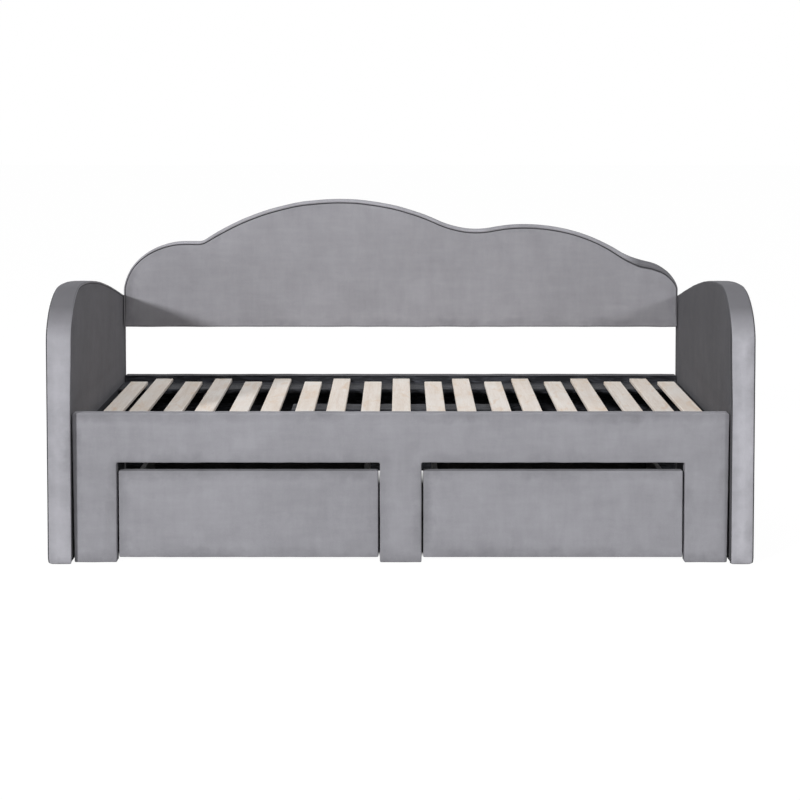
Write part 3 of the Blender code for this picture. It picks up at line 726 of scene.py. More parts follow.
def settled(piece, through, pinned=None):
    """A short cloth simulation of a cover, whose moves are held back afterwards.

    The points near the edge are pinned, fully at the seam and less further in, and so are
    those that pinned picks, a function from 0 to 1 of the places. A move is split into
    its rise, along the direction through the cover, and its slide. Each is held to its
    limit: the limit times the hyperbolic tangent of the move over the limit.
    """
    mesh = piece.data
    before = coordinates(mesh)
    from_edge = np.empty(len(before), dtype=np.float32)
    mesh.attributes[EDGE_ATTRIBUTE].data.foreach_get("value", from_edge)
    pin = 1 - eased((from_edge - PINNED_EDGE) / PINNED_RUN)
    if pinned:
        pin = np.maximum(pin, pinned(before))
    level = np.rint(pin * PIN_LEVELS)
    pins = piece.vertex_groups.new(name="pins")
    for step in range(PIN_LEVELS + 1):
        pins.add(np.flatnonzero(level == step).tolist(), step / PIN_LEVELS, "REPLACE")
    cloth = piece.modifiers.new("cloth", "CLOTH")
    cloth.settings.quality = 4
    cloth.settings.mass = CLOTH_MASS
    cloth.settings.bending_stiffness = CLOTH_STIFFNESS
    cloth.settings.shrink_min = -SETTLE_SLACK
    cloth.settings.vertex_group_mass = pins.name
    cloth.settings.use_pressure = True
    cloth.settings.uniform_pressure_force = WADDING_PRESSURE
    cloth.settings.effector_weights.gravity = 0.0
    cloth.point_cache.frame_end = SETTLE_FRAMES
    for frame_number in range(1, SETTLE_FRAMES + 1):
        bpy.context.scene.frame_set(frame_number)
    moved = piece.evaluated_get(bpy.context.evaluated_depsgraph_get()).data
    move = coordinates(moved) - before
    piece.modifiers.remove(cloth)
    piece.vertex_groups.remove(pins)
    bpy.context.scene.frame_set(1)
    rise = (move @ through)[:, None] * through
    slide = move - rise
    kept = np.tanh(rise / SETTLE_RISE) * SETTLE_RISE + np.tanh(slide / SETTLE_SLIDE) * SETTLE_SLIDE
    mesh.vertices.foreach_set("co", (before + kept).astype(np.float32).ravel())
    mesh.update()
    highest_rise = float(np.abs(rise).max())
    print("  settled, largest rise before the limit:", round(highest_rise, 4), "m")


print("settled moves a cover's points")


# %% Finish a padded piece
def finish_padding(piece, node_name, body, facing="front", pinned=None):
    """Settles a padded piece, smooths it once, hides the plain piece in its place and attaches it to
    its body.
    """
    settled(piece, np.array(FACING[facing][2], dtype=float), pinned)
    smooth = piece.modifiers.new("smooth", "SUBSURF")
    smooth.levels = 1
    smooth.render_levels = 1
    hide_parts(node_name)
    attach(piece, body)


print("finish_padding is used by every cover")

# %% [markdown]
# ## The arms
# Each arm is a tall panel as long as the bed is deep. Seen from the side, it has a straight
# front that rounds over at the shoulder, then a top that falls in a long slow curve to the
# rear. A band of velvet as wide as the arm is thick runs all round it and is sewn to the
# two side faces. On the left arm's inner side the band comes over the corner and the seam
# lies on the face. Elsewhere the seam lies just before the corner. So the profile has a
# groove on each side. Between the rails the arm is pressed flat, and near its front edge,
# where nothing presses it, its padding swells inwards a little.

# %% The arm's outline
BED_DEPTH = 1.110
FRONT_Y = -BED_DEPTH / 2
ARM_THICKNESS = 0.068
ARM_CROWN = 0.800
ARM_SHOULDER_HEIGHT = 0.650
ARM_SHOULDER_RUN = 0.225
ARM_REAR_HEIGHT = 0.667
ARM_REAR_SLOPE = 0.21
ARM_TOE_RADIUS = 0.006
ARM_REAR_RADIUS = 0.020
ARM_TOP_POINTS = 60
ARM_SHOULDER_POINTS = 40
BAY_HALF = 0.965
RAIL_TOP = 0.442


def plain_corners(points):
    """Points as corners with no radius."""
    return np.column_stack((points, np.zeros(len(points))))


def arm_corners():
    """Corners round the arm, seen from its right: foot, rear, falling top, round shoulder.

    The top is a cubic between the crown, where it is level, and the rear, where it falls
    by the slope. The shoulder is a quarter of an ellipse.
    """
    run = BED_DEPTH - ARM_SHOULDER_RUN
    crown_y = FRONT_Y + ARM_SHOULDER_RUN
    share = np.linspace(1, 0, ARM_TOP_POINTS)[:-1]
    fall = eased(share) * (ARM_CROWN - ARM_REAR_HEIGHT)
    fall += (share**3 - share**2) * run * ARM_REAR_SLOPE
    top = plain_corners(np.column_stack((crown_y + share * run, ARM_CROWN - fall)))
    top[0, 2] = ARM_REAR_RADIUS
    angle = np.linspace(np.pi / 2, np.pi, ARM_SHOULDER_POINTS)
    along = crown_y + np.cos(angle) * ARM_SHOULDER_RUN
    up = ARM_SHOULDER_HEIGHT + np.sin(angle) * (ARM_CROWN - ARM_SHOULDER_HEIGHT)
    shoulder = plain_corners(np.column_stack((along, up)))
    foot = [(FRONT_Y, 0, ARM_TOE_RADIUS), (-FRONT_Y, 0, ARM_TOE_RADIUS)]
    return np.concatenate((foot, top, shoulder))


ARM_CORNERS = arm_corners()
print("corners round an arm:", len(ARM_CORNERS))

# %% The arms' edges
# How far in from the outline and how deep behind the face each ring lies.
ARM_INNER_EDGE = (
    ((0.0180, 0.0006), (0.0130, 0.0008), (0.0098, 0.0011), (0.0086, 0.0017))
    + ((0.0078, 0.0028), (0.0070, 0.0028), (0.0063, 0.0015))
    + ((0.0036, 0.0007), (0.0014, 0.0011), (0.0004, 0.0024), (0.0, 0.0055), (0.0, 0.0200))
)
ARM_OUTER_EDGE = (
    ((0.0150, 0.0003), (0.0105, 0.0004), (0.0070, 0.0005), (0.0046, 0.0006))
    + ((0.0030, 0.0012), (0.0024, 0.0030), (0.0010, 0.0046))
    + ((0.0004, 0.0062), (0.0001, 0.0088), (0.0, 0.0130), (0.0, 0.0170), (0.0, 0.0230))
)
ARM_RINGS = len(ARM_INNER_EDGE) + 1 + len(ARM_OUTER_EDGE)
# Where the first seam, the band, the second seam and the far face start.
ARM_CLOTH_RINGS = (3, 6, ARM_RINGS - 7, ARM_RINGS - 4)


def across_edge(near, far, thickness):
    """A profile over the edge: the near side's half, the middle, then the far side's half."""
    back = np.array(far)[::-1] * (1, -1) + (0, thickness)
    return np.concatenate((np.array(near), [(0, thickness / 2)], back))


print("rings over an arm's edge:", ARM_RINGS)

# %% Swell and press the arms
ARM_SWELL = (0.0030, 0.0064)  # beside the rail, and well above it
ARM_SWELL_DEPTH = (0.022, 0.22)  # how far back beside the rail, and how much further above it
ARM_SWELL_START = 0.01  # the swell begins to grow this far above the rail
ARM_SWELL_RISE = 0.20  # and is fully grown this much higher
ARM_FOOT_ROUND = (0.005, 0.013)  # the foot's corner radius inside and outside
PRESSED_RISE = 0.03  # over this height above the rails the press fades out
PRESSED_REAR = 0.44  # and from this depth it grows again towards the backrest, over the run
PRESSED_RUN = 0.04
PRESSED_DEPTH = 0.01  # it acts on what lies no deeper in the arm than this


def shape_arm(piece, side):
    """Moves an arm's inner side towards the middle near its front edge.

    The swell is fully there on the inner face and 0 from the arm's middle outwards. Beside
    the rail it is small and ends in front of it. Above the rail it grows and reaches
    further to the rear. Each change follows the eased curve. At the foot both sides are
    drawn in by a quarter circle.
    """
    places = coordinates(piece.data)
    inner = eased((BAY_HALF + ARM_THICKNESS / 2 - np.abs(places[:, 0])) / (ARM_THICKNESS / 2))
    high = eased((places[:, 2] - RAIL_TOP - ARM_SWELL_START) / ARM_SWELL_RISE)
    reach = ARM_SWELL_DEPTH[0] + ARM_SWELL_DEPTH[1] * high
    front = 1 - eased((places[:, 1] - FRONT_Y) / reach)
    swell = ARM_SWELL[0] + (ARM_SWELL[1] - ARM_SWELL[0]) * high
    outwards = (np.abs(places[:, 0]) - BAY_HALF) / (ARM_THICKNESS / 2) - 1
    for radius, share in zip(ARM_FOOT_ROUND, (-outwards, outwards)):
        low = np.clip(radius - places[:, 2], 0, radius)
        corner = radius - np.sqrt(radius**2 - low**2)
        places[:, 0] -= side * corner * np.clip(share, 0, 1) * np.sign(outwards)
    places[:, 0] -= side * swell * inner * front
    piece.data.vertices.foreach_set("co", places.ravel())
    piece.data.update()


def pressed_arm(places):
    """1 where the rails, the deck or the backrest press an arm's inner face, else 0."""
    low = 1 - eased((places[:, 2] - RAIL_TOP) / PRESSED_RISE)
    rear = eased((places[:, 1] - PRESSED_REAR) / PRESSED_RUN)
    return np.where(np.abs(places[:, 0]) < BAY_HALF + PRESSED_DEPTH, np.maximum(low, rear), 0)


print("an arm swells by up to", ARM_SWELL[1], "m")


# %% Arm covers
ARM_FACE_ROWS = (0.012, 0.026)  # how far inside the first ring the face's rows of points lie


def arm_cover(side, word, seed):
    """One arm's cover, between the bay's side and the arm's outer face."""
    inner = {-1: LEFT_INNER_SHADED_VELVET, 1: RIGHT_INNER_SHADED_VELVET}[side]
    band = {-1: LEFT_BAND_LIT_VELVET, 1: RIGHT_BAND_LIT_VELVET}[side]
    cloths = (inner, SEAM_SHADE_VELVET, band, SEAM_SHADE_VELVET, ARM_OUTER_VELVET)
    near = {-1: ARM_INNER_EDGE, 1: ARM_OUTER_EDGE}[side]
    piece = padded_panel(
        f"arm_{word}_velvet",
        ARM_CORNERS,
        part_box(f"arm_{word}_cover")[1][0],
        "right",
        across_edge(near, ARM_OUTER_EDGE, ARM_THICKNESS),
        cloths[::-side],
        cloth_rings=ARM_CLOTH_RINGS,
        thickness=ARM_THICKNESS,
        seed=seed,
        rows=ARM_FACE_ROWS,
    )
    shape_arm(piece, side)
    finish_padding(piece, f"arm_{word}_cover", "frame", "right", pressed_arm)


arm_cover(-1, "left", 11)
arm_cover(1, "right", 21)

# %% [markdown]
# ## The backrest
# The backrest stands between the arms' rear edges. Its top is wavy: a long low shoulder on
# the left, one large lobe, a smaller one, and a small end lobe. Each lobe is half of an
# ellipse, and where two meet they are eased into each other. The band over its edge comes
# a finger's width down the face before it meets the face's velvet at the seam, and near the
# right-hand end that seam wanders further down. Along the foot the face is simply wrapped.

# %% The backrest's outline
BACKREST_GRIP = 0.103  # how far it reaches down between the arms' rear edges
FIT_GAP = 0.0003
RAIL_HALF = BAY_HALF - FIT_GAP
BACKREST_BOTTOM = ARM_REAR_HEIGHT - BACKREST_GRIP
BACKREST_THICKNESS = 0.060
BACKREST_CORNER_RADIUS = 0.006
MAIN_LOBE = (-0.215, 0.446, 0.840)  # its place across, its rise over the foot, its radius
SIDE_LOBE = (0.434, 0.3580, 0.623)
SHOULDER_LOBE = (0.215, 0.2985, 0.1810)  # its run, its rise and its drop at the end
END_LOBE = (0.135, 0.2305, 0.1110)
SHOULDER_BLEND = 0.009  # how far two heights differ where they begin to run together
VALLEY_BLEND = 0.090
END_BLEND = 0.043
TOP_CORNERS = 301


def lobe(across, crest, rise, run, drop):
    """Height of one lobe: an upright half ellipse, level between its crest's two ends."""
    away = np.clip(np.abs(across - np.clip(across, *crest)) / run, 0, 1)
    return rise - drop + drop * np.sqrt(1 - away**2)


def run_together(first, second, width):
    """The higher of two heights, eased where they differ by less than the width.

    What is added is the overlap's square over four widths.
    """
    overlap = np.maximum(width - np.abs(first - second), 0)
    return np.maximum(first, second) + overlap**2 / (4 * width)


def backrest_height(across):
    """Height of the top edge above the foot: the lobes run together from left to right."""
    place, rise, radius = MAIN_LOBE
    run, shoulder_rise, drop = SHOULDER_LOBE
    height = lobe(across, (run - RAIL_HALF, place), shoulder_rise, run, drop)
    height = run_together(height, lobe(across, (place, place), rise, radius, radius), SHOULDER_BLEND)
    place, rise, radius = SIDE_LOBE
    height = run_together(height, lobe(across, (place, place), rise, radius, radius), VALLEY_BLEND)
    run, rise, drop = END_LOBE
    end = lobe(across, (RAIL_HALF - run, RAIL_HALF - run), rise, run, drop)
    return run_together(height, end, END_BLEND)


def backrest_corners():
    """Corners round the backrest: a flat foot, then the top from right to left."""
    across = np.cos(np.linspace(0, np.pi, TOP_CORNERS)) * RAIL_HALF
    top = np.column_stack((across, BACKREST_BOTTOM + backrest_height(across)))
    foot = [(-RAIL_HALF, BACKREST_BOTTOM, BACKREST_CORNER_RADIUS)]
    foot.append((RAIL_HALF, BACKREST_BOTTOM, BACKREST_CORNER_RADIUS))
    return np.concatenate((foot, plain_corners(top)))


BACKREST_CORNERS = backrest_corners()
print("top of the backrest:", round(float(BACKREST_CORNERS[:, 1].max()), 4))

# %% The backrest's edge
# How far in from the outline and how deep behind the face each ring lies: the face's roll
# and its seam, the band and the top, then the rear seam and the rear face's roll.
BACKREST_EDGE = (
    ((0.0180, 0.0008), (0.0162, 0.0014), (0.0150, 0.0022), (0.0142, 0.0034))
    + ((0.0134, 0.0056), (0.0120, 0.0060), (0.0107, 0.0040))
    + ((0.0092, 0.0022), (0.0064, 0.0016), (0.0034, 0.0036), (0.0012, 0.0085))
    + ((0.0, 0.0160), (0.0, 0.0260), (0.0, 0.0420), (0.0010, 0.0500))
    + ((0.0030, 0.0540), (0.0052, 0.0552), (0.0062, 0.0542), (0.0074, 0.0560))
    + ((0.0105, 0.0580), (0.0150, 0.0592))
)
# Where the first seam, the band, the rear seam and the rear face start.
BACKREST_CLOTH_RINGS = (3, 6, 16, 18)
BACKREST_BAND_RINGS = (7, 15)  # from the first, and up to before the last, they follow the seam
# Along the bed, and there the seam's distance from the edge, as a share of its usual one.
SEAM_PLACES = (-0.965, -0.935, -0.86, -0.70, -0.64, 0.60, 0.70, 0.775, 0.84, 0.90, 0.945, 0.965)
SEAM_SHARES = (0.45, 0.50, 0.75, 0.80, 1.0, 1.0, 1.08, 1.3, 1.8, 1.55, 0.9, 0.35)
FOOT_SHARE = 0.18  # along the foot the seam lies this close to the edge, as a share
FOOT_RISE = 0.06


def seam_spread(places):
    """How far the seam wanders, as a share of its usual distance from the edge."""
    spread = np.interp(places[:, 0], SEAM_PLACES, SEAM_SHARES)
    high = eased((places[:, 1] - BACKREST_BOTTOM) / FOOT_RISE)
    return FOOT_SHARE + (spread - FOOT_SHARE) * high


print("rings over the backrest's edge:", len(BACKREST_EDGE))

# %% Backrest cover
BACKREST_FACE_ROWS = (0.014,)
BACKREST_CROWN_RUN = 0.050
backrest = padded_panel(
    "backrest_velvet",
    BACKREST_CORNERS,
    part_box("backrest_cover")[0][1],
    "front",
    np.array(BACKREST_EDGE),
    (BACKREST_VELVET, SEAM_SHADE_VELVET, BACKREST_BAND_LIT_VELVET, SEAM_SHADE_VELVET, BACKREST_VELVET),
    cloth_rings=BACKREST_CLOTH_RINGS,
    band=BACKREST_BAND_RINGS,
    thickness=BACKREST_THICKNESS,
    seed=31,
    spread=seam_spread,
    rows=BACKREST_FACE_ROWS,
    crown_run=BACKREST_CROWN_RUN,
)
finish_padding(backrest, "backrest_cover", "frame")

# %% [markdown]
# ## The front rail
# The front rail is one board from arm to arm, with two large cut-outs for the drawers, and
# it stands on the floor on what is left between them. Velvet over thin wadding wraps its
# face and edges and is stapled behind, so the board shows there. The cover therefore has a
# pocket at its back, with the board in it. The cover ends a little short of the arms, which
# leaves the dark joint that the photograph shows.

# %% The front rail's outline
RAIL_THICKNESS = 0.040
RAIL_CORNER = 0.0045
RAIL_TOP_CORNER = 0.008
RAIL_END_ROOM = (0.0060, 0.0018)  # at the foot and at the top
CUTOUT_HEIGHT = 0.295
CENTRE_POST_WIDTH = 0.123
END_LEG_WIDTH = 0.132
CUTOUT_INNER = CENTRE_POST_WIDTH / 2
CUTOUT_OUTER = RAIL_HALF - END_LEG_WIDTH


def front_rail_corners():
    """Corners round the front rail, from its lower left: leg, cut-out, post, cut-out, leg."""
    foot = RAIL_HALF - RAIL_END_ROOM[0]
    top = RAIL_HALF - RAIL_END_ROOM[1]
    across = np.array((-foot, -CUTOUT_OUTER, -CUTOUT_OUTER, -CUTOUT_INNER, -CUTOUT_INNER))
    across = np.concatenate((across, -across[::-1], (top, -top)))
    up = (0, 0, CUTOUT_HEIGHT, CUTOUT_HEIGHT, 0, 0, CUTOUT_HEIGHT, CUTOUT_HEIGHT, 0, 0)
    up = np.concatenate((up, (RAIL_TOP, RAIL_TOP)))
    radius = np.full(len(up), RAIL_CORNER)
    radius[-2:] = RAIL_TOP_CORNER
    return np.column_stack((across, up, radius))


FRONT_RAIL_CORNERS = front_rail_corners()
print("corners round the front rail:", len(FRONT_RAIL_CORNERS))


# %% A profile with a pocket
RIM_SINK = 0.0004  # the stapled cloth lies this much lower than the bare board
EDGE_START = math.radians(12)  # a soft edge's first ring is this far round its quarter circle
SIDE_SHARES = (0.4, 0.6)  # where the side's two rings lie, as shares of the thickness
POCKET_LIP = (0.0003, 0.0014)  # the pocket's mouth is rounded this far across and deep
POCKET_FOLD = (0.0006, 0.0008)  # and so is the corner of its floor


def wrapped_profile(edge, thickness, rim, floor):
    """A profile over a soft edge and round behind it, then into the pocket to its floor.

    Both edges are quarter circles of the edge's radius, the rim is the cloth's turned-in
    border behind, and the pocket's walls and its floor's border are its last rings.
    """
    angle = np.linspace(EDGE_START, np.pi / 2, 6)
    front = np.column_stack((edge * (1 - np.sin(angle)), edge * (1 - np.cos(angle))))
    side = [(0.0, thickness * share) for share in SIDE_SHARES]
    back = front[::-1] * (1, -1) + (0, thickness)
    back[:, 1] -= RIM_SINK
    pocket = [(rim - POCKET_LIP[0], thickness - RIM_SINK), (rim, thickness - POCKET_LIP[1])]
    pocket += [(rim, (floor + thickness) / 2), (rim, floor + POCKET_FOLD[1])]
    pocket += [(rim + POCKET_FOLD[0], floor)]
    if len(pocket) != POCKET_RINGS:
        raise ValueError("the pocket's rings are counted wrong")
    return np.concatenate((front, side, back, pocket))


print("rings in a pocket:", POCKET_RINGS)


# %% Front rail cover
WRAPPED_FACE_ROWS = (0.008, 0.018)
WRAPPED_CROWN_RUN = 0.020


def wrapped_cover(name, node_name, body, corners, face, facing, cloth, wrap, **options):
    """A thin tight cover with a pocket at its back, with wrapped_profile's four sizes."""
    piece = padded_panel(
        name,
        corners,
        face,
        facing,
        wrapped_profile(*wrap),
        (cloth,),
        thickness=wrap[1],
        pocket=True,
        rows=WRAPPED_FACE_ROWS,
        crown_run=WRAPPED_CROWN_RUN,
        **options,
    )
    finish_padding(piece, node_name, body)


# The soft edge's radius, the thickness, the rim's width and the depth of the pocket's floor.
RAIL_WRAP = (0.0034, RAIL_THICKNESS, 0.0100, 0.0120)
RAIL_RELIEF = 0.0006
front_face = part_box("front_rail_cover")[0][1]
wrapped_cover(
    "front_rail_velvet", "front_rail_cover", "frame",
    FRONT_RAIL_CORNERS, front_face, "front", RAIL_VELVET, RAIL_WRAP, seed=41, relief=RAIL_RELIEF,
)

# %% [markdown]
# ## The rear rail
# The rear rail closes the deck at the back. It hangs well above the floor, and its velvet
# side faces the wall, so its cover is the front rail's kind turned to face the rear.


# %% Rear rail cover
def rectangle(left, bottom, right, top, radius):
    """Corners round an upright rectangle."""
    across = (left, right, right, left)
    up = (bottom, bottom, top, top)
    return np.column_stack((across, up, np.full(4, radius)))


rear_low, rear_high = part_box("rear_rail_cover")
rear_corners = rectangle(-RAIL_HALF, rear_low[2], RAIL_HALF, rear_high[2], RAIL_CORNER)
wrapped_cover(
    "rear_rail_velvet", "rear_rail_cover", "frame",
    rear_corners, rear_high[1], "rear", REAR_RAIL_VELVET, RAIL_WRAP, seed=51, relief=RAIL_RELIEF,
)

# %% [markdown]
# ## The drawer fronts
# Two drawer fronts sit in the cut-outs, a little behind the rail's face. They are padded
# more thinly than the rail, so their edges are crisp.

# %% Drawer front covers
DRAWER_THICKNESS = 0.030
DRAWER_CORNER = 0.0035
DRAWER_ROOM = (0.0015, 0.0030)  # the cover ends this much inside the plain one, below and above
DRAWER_WRAP = (0.0032, DRAWER_THICKNESS, 0.0120, 0.0120)
DRAWER_SOFTNESS = {"relief": 0.0005, "edge_wave": 0.0002}


def drawer_cover(word, seed):
    """One drawer front's cover, inside the box of the plain one."""
    low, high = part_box(f"drawer_{word}_front_cover")
    bottom = low[2] + DRAWER_ROOM[0]
    corners = rectangle(low[0], bottom, high[0], high[2] - DRAWER_ROOM[1], DRAWER_CORNER)
    wrapped_cover(
        f"drawer_{word}_velvet", f"drawer_{word}_front_cover", f"drawer_{word}",
        corners, low[1], "front", RAIL_VELVET, DRAWER_WRAP, seed=seed, **DRAWER_SOFTNESS,
    )


drawer_cover("left", 61)
drawer_cover("right", 71)

# %% [markdown]
# ## Black lining
# The ledgers that carry the slats, and the short beam under the deck's middle, are boards
# wrapped in thin black cloth with a faint gloss. It is stapled on in a hurry, so it lies in
# creases. A creased board could be a plain board with a bumpy finish, but the creases show
# along its edges too, so they are in the shape: a rounded oblong carried from end to end,
# which dips wherever seeded waves dip.

# %% Lining finish
FOLD_SHADE_TONES = (0.22, 2.5)  # painted shade between the folds and painted highlight on them, as shares of the black
FOLD_HEIGHT = 0.0022


def lining_finish():
    """Black non-woven cloth: tiny felted fibres, a faint gloss, and folds painted lighter than the
    dips between them, as painted highlight and shade.
    """
    material, tree, shader = new_finish("black lining", 0.6, 0.22)
    felt = noise(tree, 900, 3, 0.7)
    folds = noise(tree, 75, 3, 0.62, stretch=(0.13, 1, 1), twist=1.2)
    # Painted highlight on the folds and painted shade between them.
    painted_fold_light = ranged(tree, folds, 0.44, 0.60, 0, 1)
    light = mingled(tree, 0.35, felt, painted_fold_light)
    dark, pale = (shade_of(LINING_AND_SHADOW_BLACK, tone) for tone in FOLD_SHADE_TONES)
    tree.links.new(mixed(tree, light, dark, pale), shader.inputs["Base Color"])
    bump(tree, shader, light, 0.7, FOLD_HEIGHT)
    return material


LINING = lining_finish()
print("lining finish:", LINING.name)


# %% Wrapped boards
CREASE_WAVES = 9
SECTION_STEP = 0.010  # between the points round a board's section where it runs straight
SECTION_TURN = math.radians(24)
STATION_STEP = 0.011  # between the stations along it
END_START = math.radians(25)  # an end's first ring is this far round its quarter circle
END_RINGS = 3
SAG = 0.0016  # the deepest dip between two creases
SAG_WAVES = (0.03, 0.16)
ALONG_SHARE = 0.7  # one over this is how much longer the creases are along the board
END_SAG_SHARE = 0.3  # how much of the creases is left on the rounded ends


def creases(places, seed, amount, shortest, longest):
    """Sharp folds with wide dips between: one less the square of what waves leave of 1."""
    fold = 1 - np.abs(waves(places, seed, shortest, longest, CREASE_WAVES))
    return amount * (1 - fold**2)


print("creases come from", CREASE_WAVES, "waves")


# %% Make a wrapped board
def wrapped_board(name, low, high, radius, seed):
    """A board along X wrapped in creased cloth, closed at both ends.

    Its section is an oblong with rounded corners. Each station along X repeats it, drawn
    in at the ends by a quarter circle, and sinks it by the creases, at most the sag.
    """
    base = rounded(rectangle(low[1], low[2], high[1], high[2], radius), 4)
    stretch, share = stations(base, SECTION_STEP, SECTION_TURN)
    share = share[:, None]
    section = base[stretch] * (1 - share) + base[(stretch + 1) % len(base)] * share
    tangent = np.roll(section, -1, axis=0) - np.roll(section, 1, axis=0)
    inward = unit(np.stack((-tangent[:, 1], tangent[:, 0]), axis=1))
    count = math.ceil((high[0] - low[0]) / STATION_STEP)
    middle = np.linspace(low[0] + radius, high[0] - radius, count)
    turn = np.linspace(END_START, np.pi / 2, END_RINGS + 1)[:-1]
    end_room = radius * (1 - np.cos(turn))
    end_step = radius * (1 - np.sin(turn))
    along = np.concatenate((low[0] + end_room, middle, high[0] - end_room[::-1]))
    drawn = np.concatenate((end_step, np.zeros(count), end_step[::-1]))
    grid = np.broadcast_to(section, (len(along), *section.shape))
    across = np.broadcast_to(along[:, None, None], (*grid.shape[:2], 1))
    places = np.concatenate((across * ALONG_SHARE, grid), axis=2)
    sink = creases(places.reshape(-1, 3), seed, SAG, *SAG_WAVES).reshape(grid.shape[:2])
    sink = np.maximum(sink, drawn[:, None] + sink * END_SAG_SHARE)
    points = np.concatenate((across, grid + inward * sink[..., None]), axis=2)
    numbers = np.arange(points.shape[0] * points.shape[1]).reshape(points.shape[:2])
    faces = []
    for first, second in zip(numbers[:-1], numbers[1:]):
        faces += quads_between(second, first)
    first_end = filled(points[0, :, 1:], np.empty((0, 2)))
    faces += numbers[0][first_end[:, ::-1]].tolist()
    last_end = filled(points[-1, :, 1:], np.empty((0, 2)))
    faces += numbers[-1][last_end].tolist()
    piece = new_piece(name, points.reshape(-1, 3), faces, LINING)
    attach(piece, "frame")
    print(name, "points:", len(piece.data.vertices))
    return piece


def wrapped_node(node_name, seed, radius):
    """A wrapped board in the place of a packed one."""
    low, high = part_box(node_name)
    piece = wrapped_board(f"{node_name}_wrapped", low, high, radius, seed)
    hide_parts(node_name)


LEDGER_RADIUS = 0.004
BEAM_RADIUS = 0.005
wrapped_node("front_ledger", 81, LEDGER_RADIUS)
wrapped_node("rear_ledger", 82, LEDGER_RADIUS)
wrapped_node("center_beam", 83, BEAM_RADIUS)

# %% [markdown]
# ## Lining on the rear rail
# The rear rail's bare board is covered by the same black cloth, in one piece above the
# ledger and one below it. Each is a thin creased sheet that lies flat on the board. The
# lower one also hangs below the rail: that hanging part is a dark sheet standing in for the
# shade under the bed, and it keeps the light out from behind.

# %% Sheets on the rear rail's board
LINING_DEPTH = 0.0016  # the least that a sheet stands out from its gap to the board
LINING_CLOTH = 0.0012  # and how thick it is drawn
LINING_END_ROOM = 0.0018
LINING_HALF = RAIL_HALF - LINING_END_ROOM
# The lower sheet hangs this far below the board, as a dark sheet standing in for shade.
SHADE_SHEET_HANG = 0.064
LINING_RISE = 0.0092  # the upper sheet's top over the board's
LINING_GAPS = (0.003, 0.001)  # how far the sheets reach behind the ledger, above and below
LINING_ROOMS = (0.0026, 0.0042)  # how far the upper and the lower sheet stand out
BOARD_GAP = 0.0002  # from the board to a sheet
LINING_COLUMNS = 220
LINING_ROW_STEP = 0.006
LINING_CREASES = (0.03, 0.14)
CREASE_SLANT = (0.8, 1)


def lining_sheet(name, bottom, top, room, seed):
    """A creased sheet just in front of the rear rail's board, as far out as its room.

    Its front is a grid that the creases push towards the board, and its back is the same
    grid a cloth's thickness behind. A ring of faces round the border closes it.
    """
    board_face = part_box("rear_rail_board")[0][1]
    across = np.linspace(-LINING_HALF, LINING_HALF, LINING_COLUMNS)
    up = np.linspace(bottom, top, max(5, round((top - bottom) / LINING_ROW_STEP)))
    places = np.stack(np.meshgrid(across, up), axis=-1).reshape(-1, 2)
    deep = creases(places * CREASE_SLANT, seed, room - LINING_DEPTH, *LINING_CREASES)
    front_y = board_face - BOARD_GAP - room + deep
    front = np.column_stack((places[:, 0], front_y, places[:, 1]))
    back = front + (0, LINING_CLOTH, 0)
    rows, columns = len(up), len(across)
    numbers = np.arange(rows * columns).reshape(rows, columns)
    cells = (numbers[:-1, :-1], numbers[:-1, 1:], numbers[1:, 1:], numbers[1:, :-1])
    quads = np.stack(cells, axis=-1).reshape(-1, 4)
    border = (numbers[0, :-1], numbers[:-1, -1], numbers[-1, :0:-1], numbers[:0:-1, 0])
    border = np.concatenate(border)
    rim = np.array(quads_between(border + rows * columns, border))
    faces = np.concatenate((quads, quads[:, ::-1] + rows * columns, rim)).tolist()
    sheet = new_piece(name, np.concatenate((front, back)), faces, LINING)
    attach(sheet, "frame")
    print(name, "faces:", len(faces))


ledger_low, ledger_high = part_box("rear_ledger")
board_low, board_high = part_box("rear_rail_board")
upper_foot = ledger_high[2] - LINING_GAPS[0]
lower_top = ledger_low[2] - LINING_GAPS[1]
lining_sheet("rear_lining_upper", upper_foot, board_high[2] + LINING_RISE, LINING_ROOMS[0], 84)
lining_sheet("rear_lining_lower", board_low[2] - SHADE_SHEET_HANG, lower_top, LINING_ROOMS[1], 85)

# %% [markdown]
# ## Bare wood and board
# The slats are pale planed softwood. Their grain runs along them, and each was cut from
# another plank, so their tone differs a little. The boards inside the covers are pressed
# from chips, and the drawers are charcoal laminated board with a faint fleck.


# %% Wood and board finishes
SAPWOOD = (0.97, 0.91, 0.85, 1)
GRAIN_WOOD = (0.80, 0.70, 0.61, 1)
DARK_PLANK = (0.90, 0.79, 0.69, 1)
PALE_STAIN = (0.97, 0.945, 0.915, 1)
KNOT_WOOD = (0.80, 0.62, 0.46, 1)
GRAIN_HEIGHT = 0.0004
CHIP_HEIGHT = 0.0003


def mosaic(tree, stretch, count):
    """A tone for each cell of a mosaic, with about count cells in a metre."""
    values = {"Vector": stretched(tree, stretch), "Scale": count, "Randomness": 1.0}
    colours = node(tree, "ShaderNodeTexVoronoi", values).outputs["Color"]
    return node(tree, "ShaderNodeSeparateColor", {0: colours}).outputs[0]


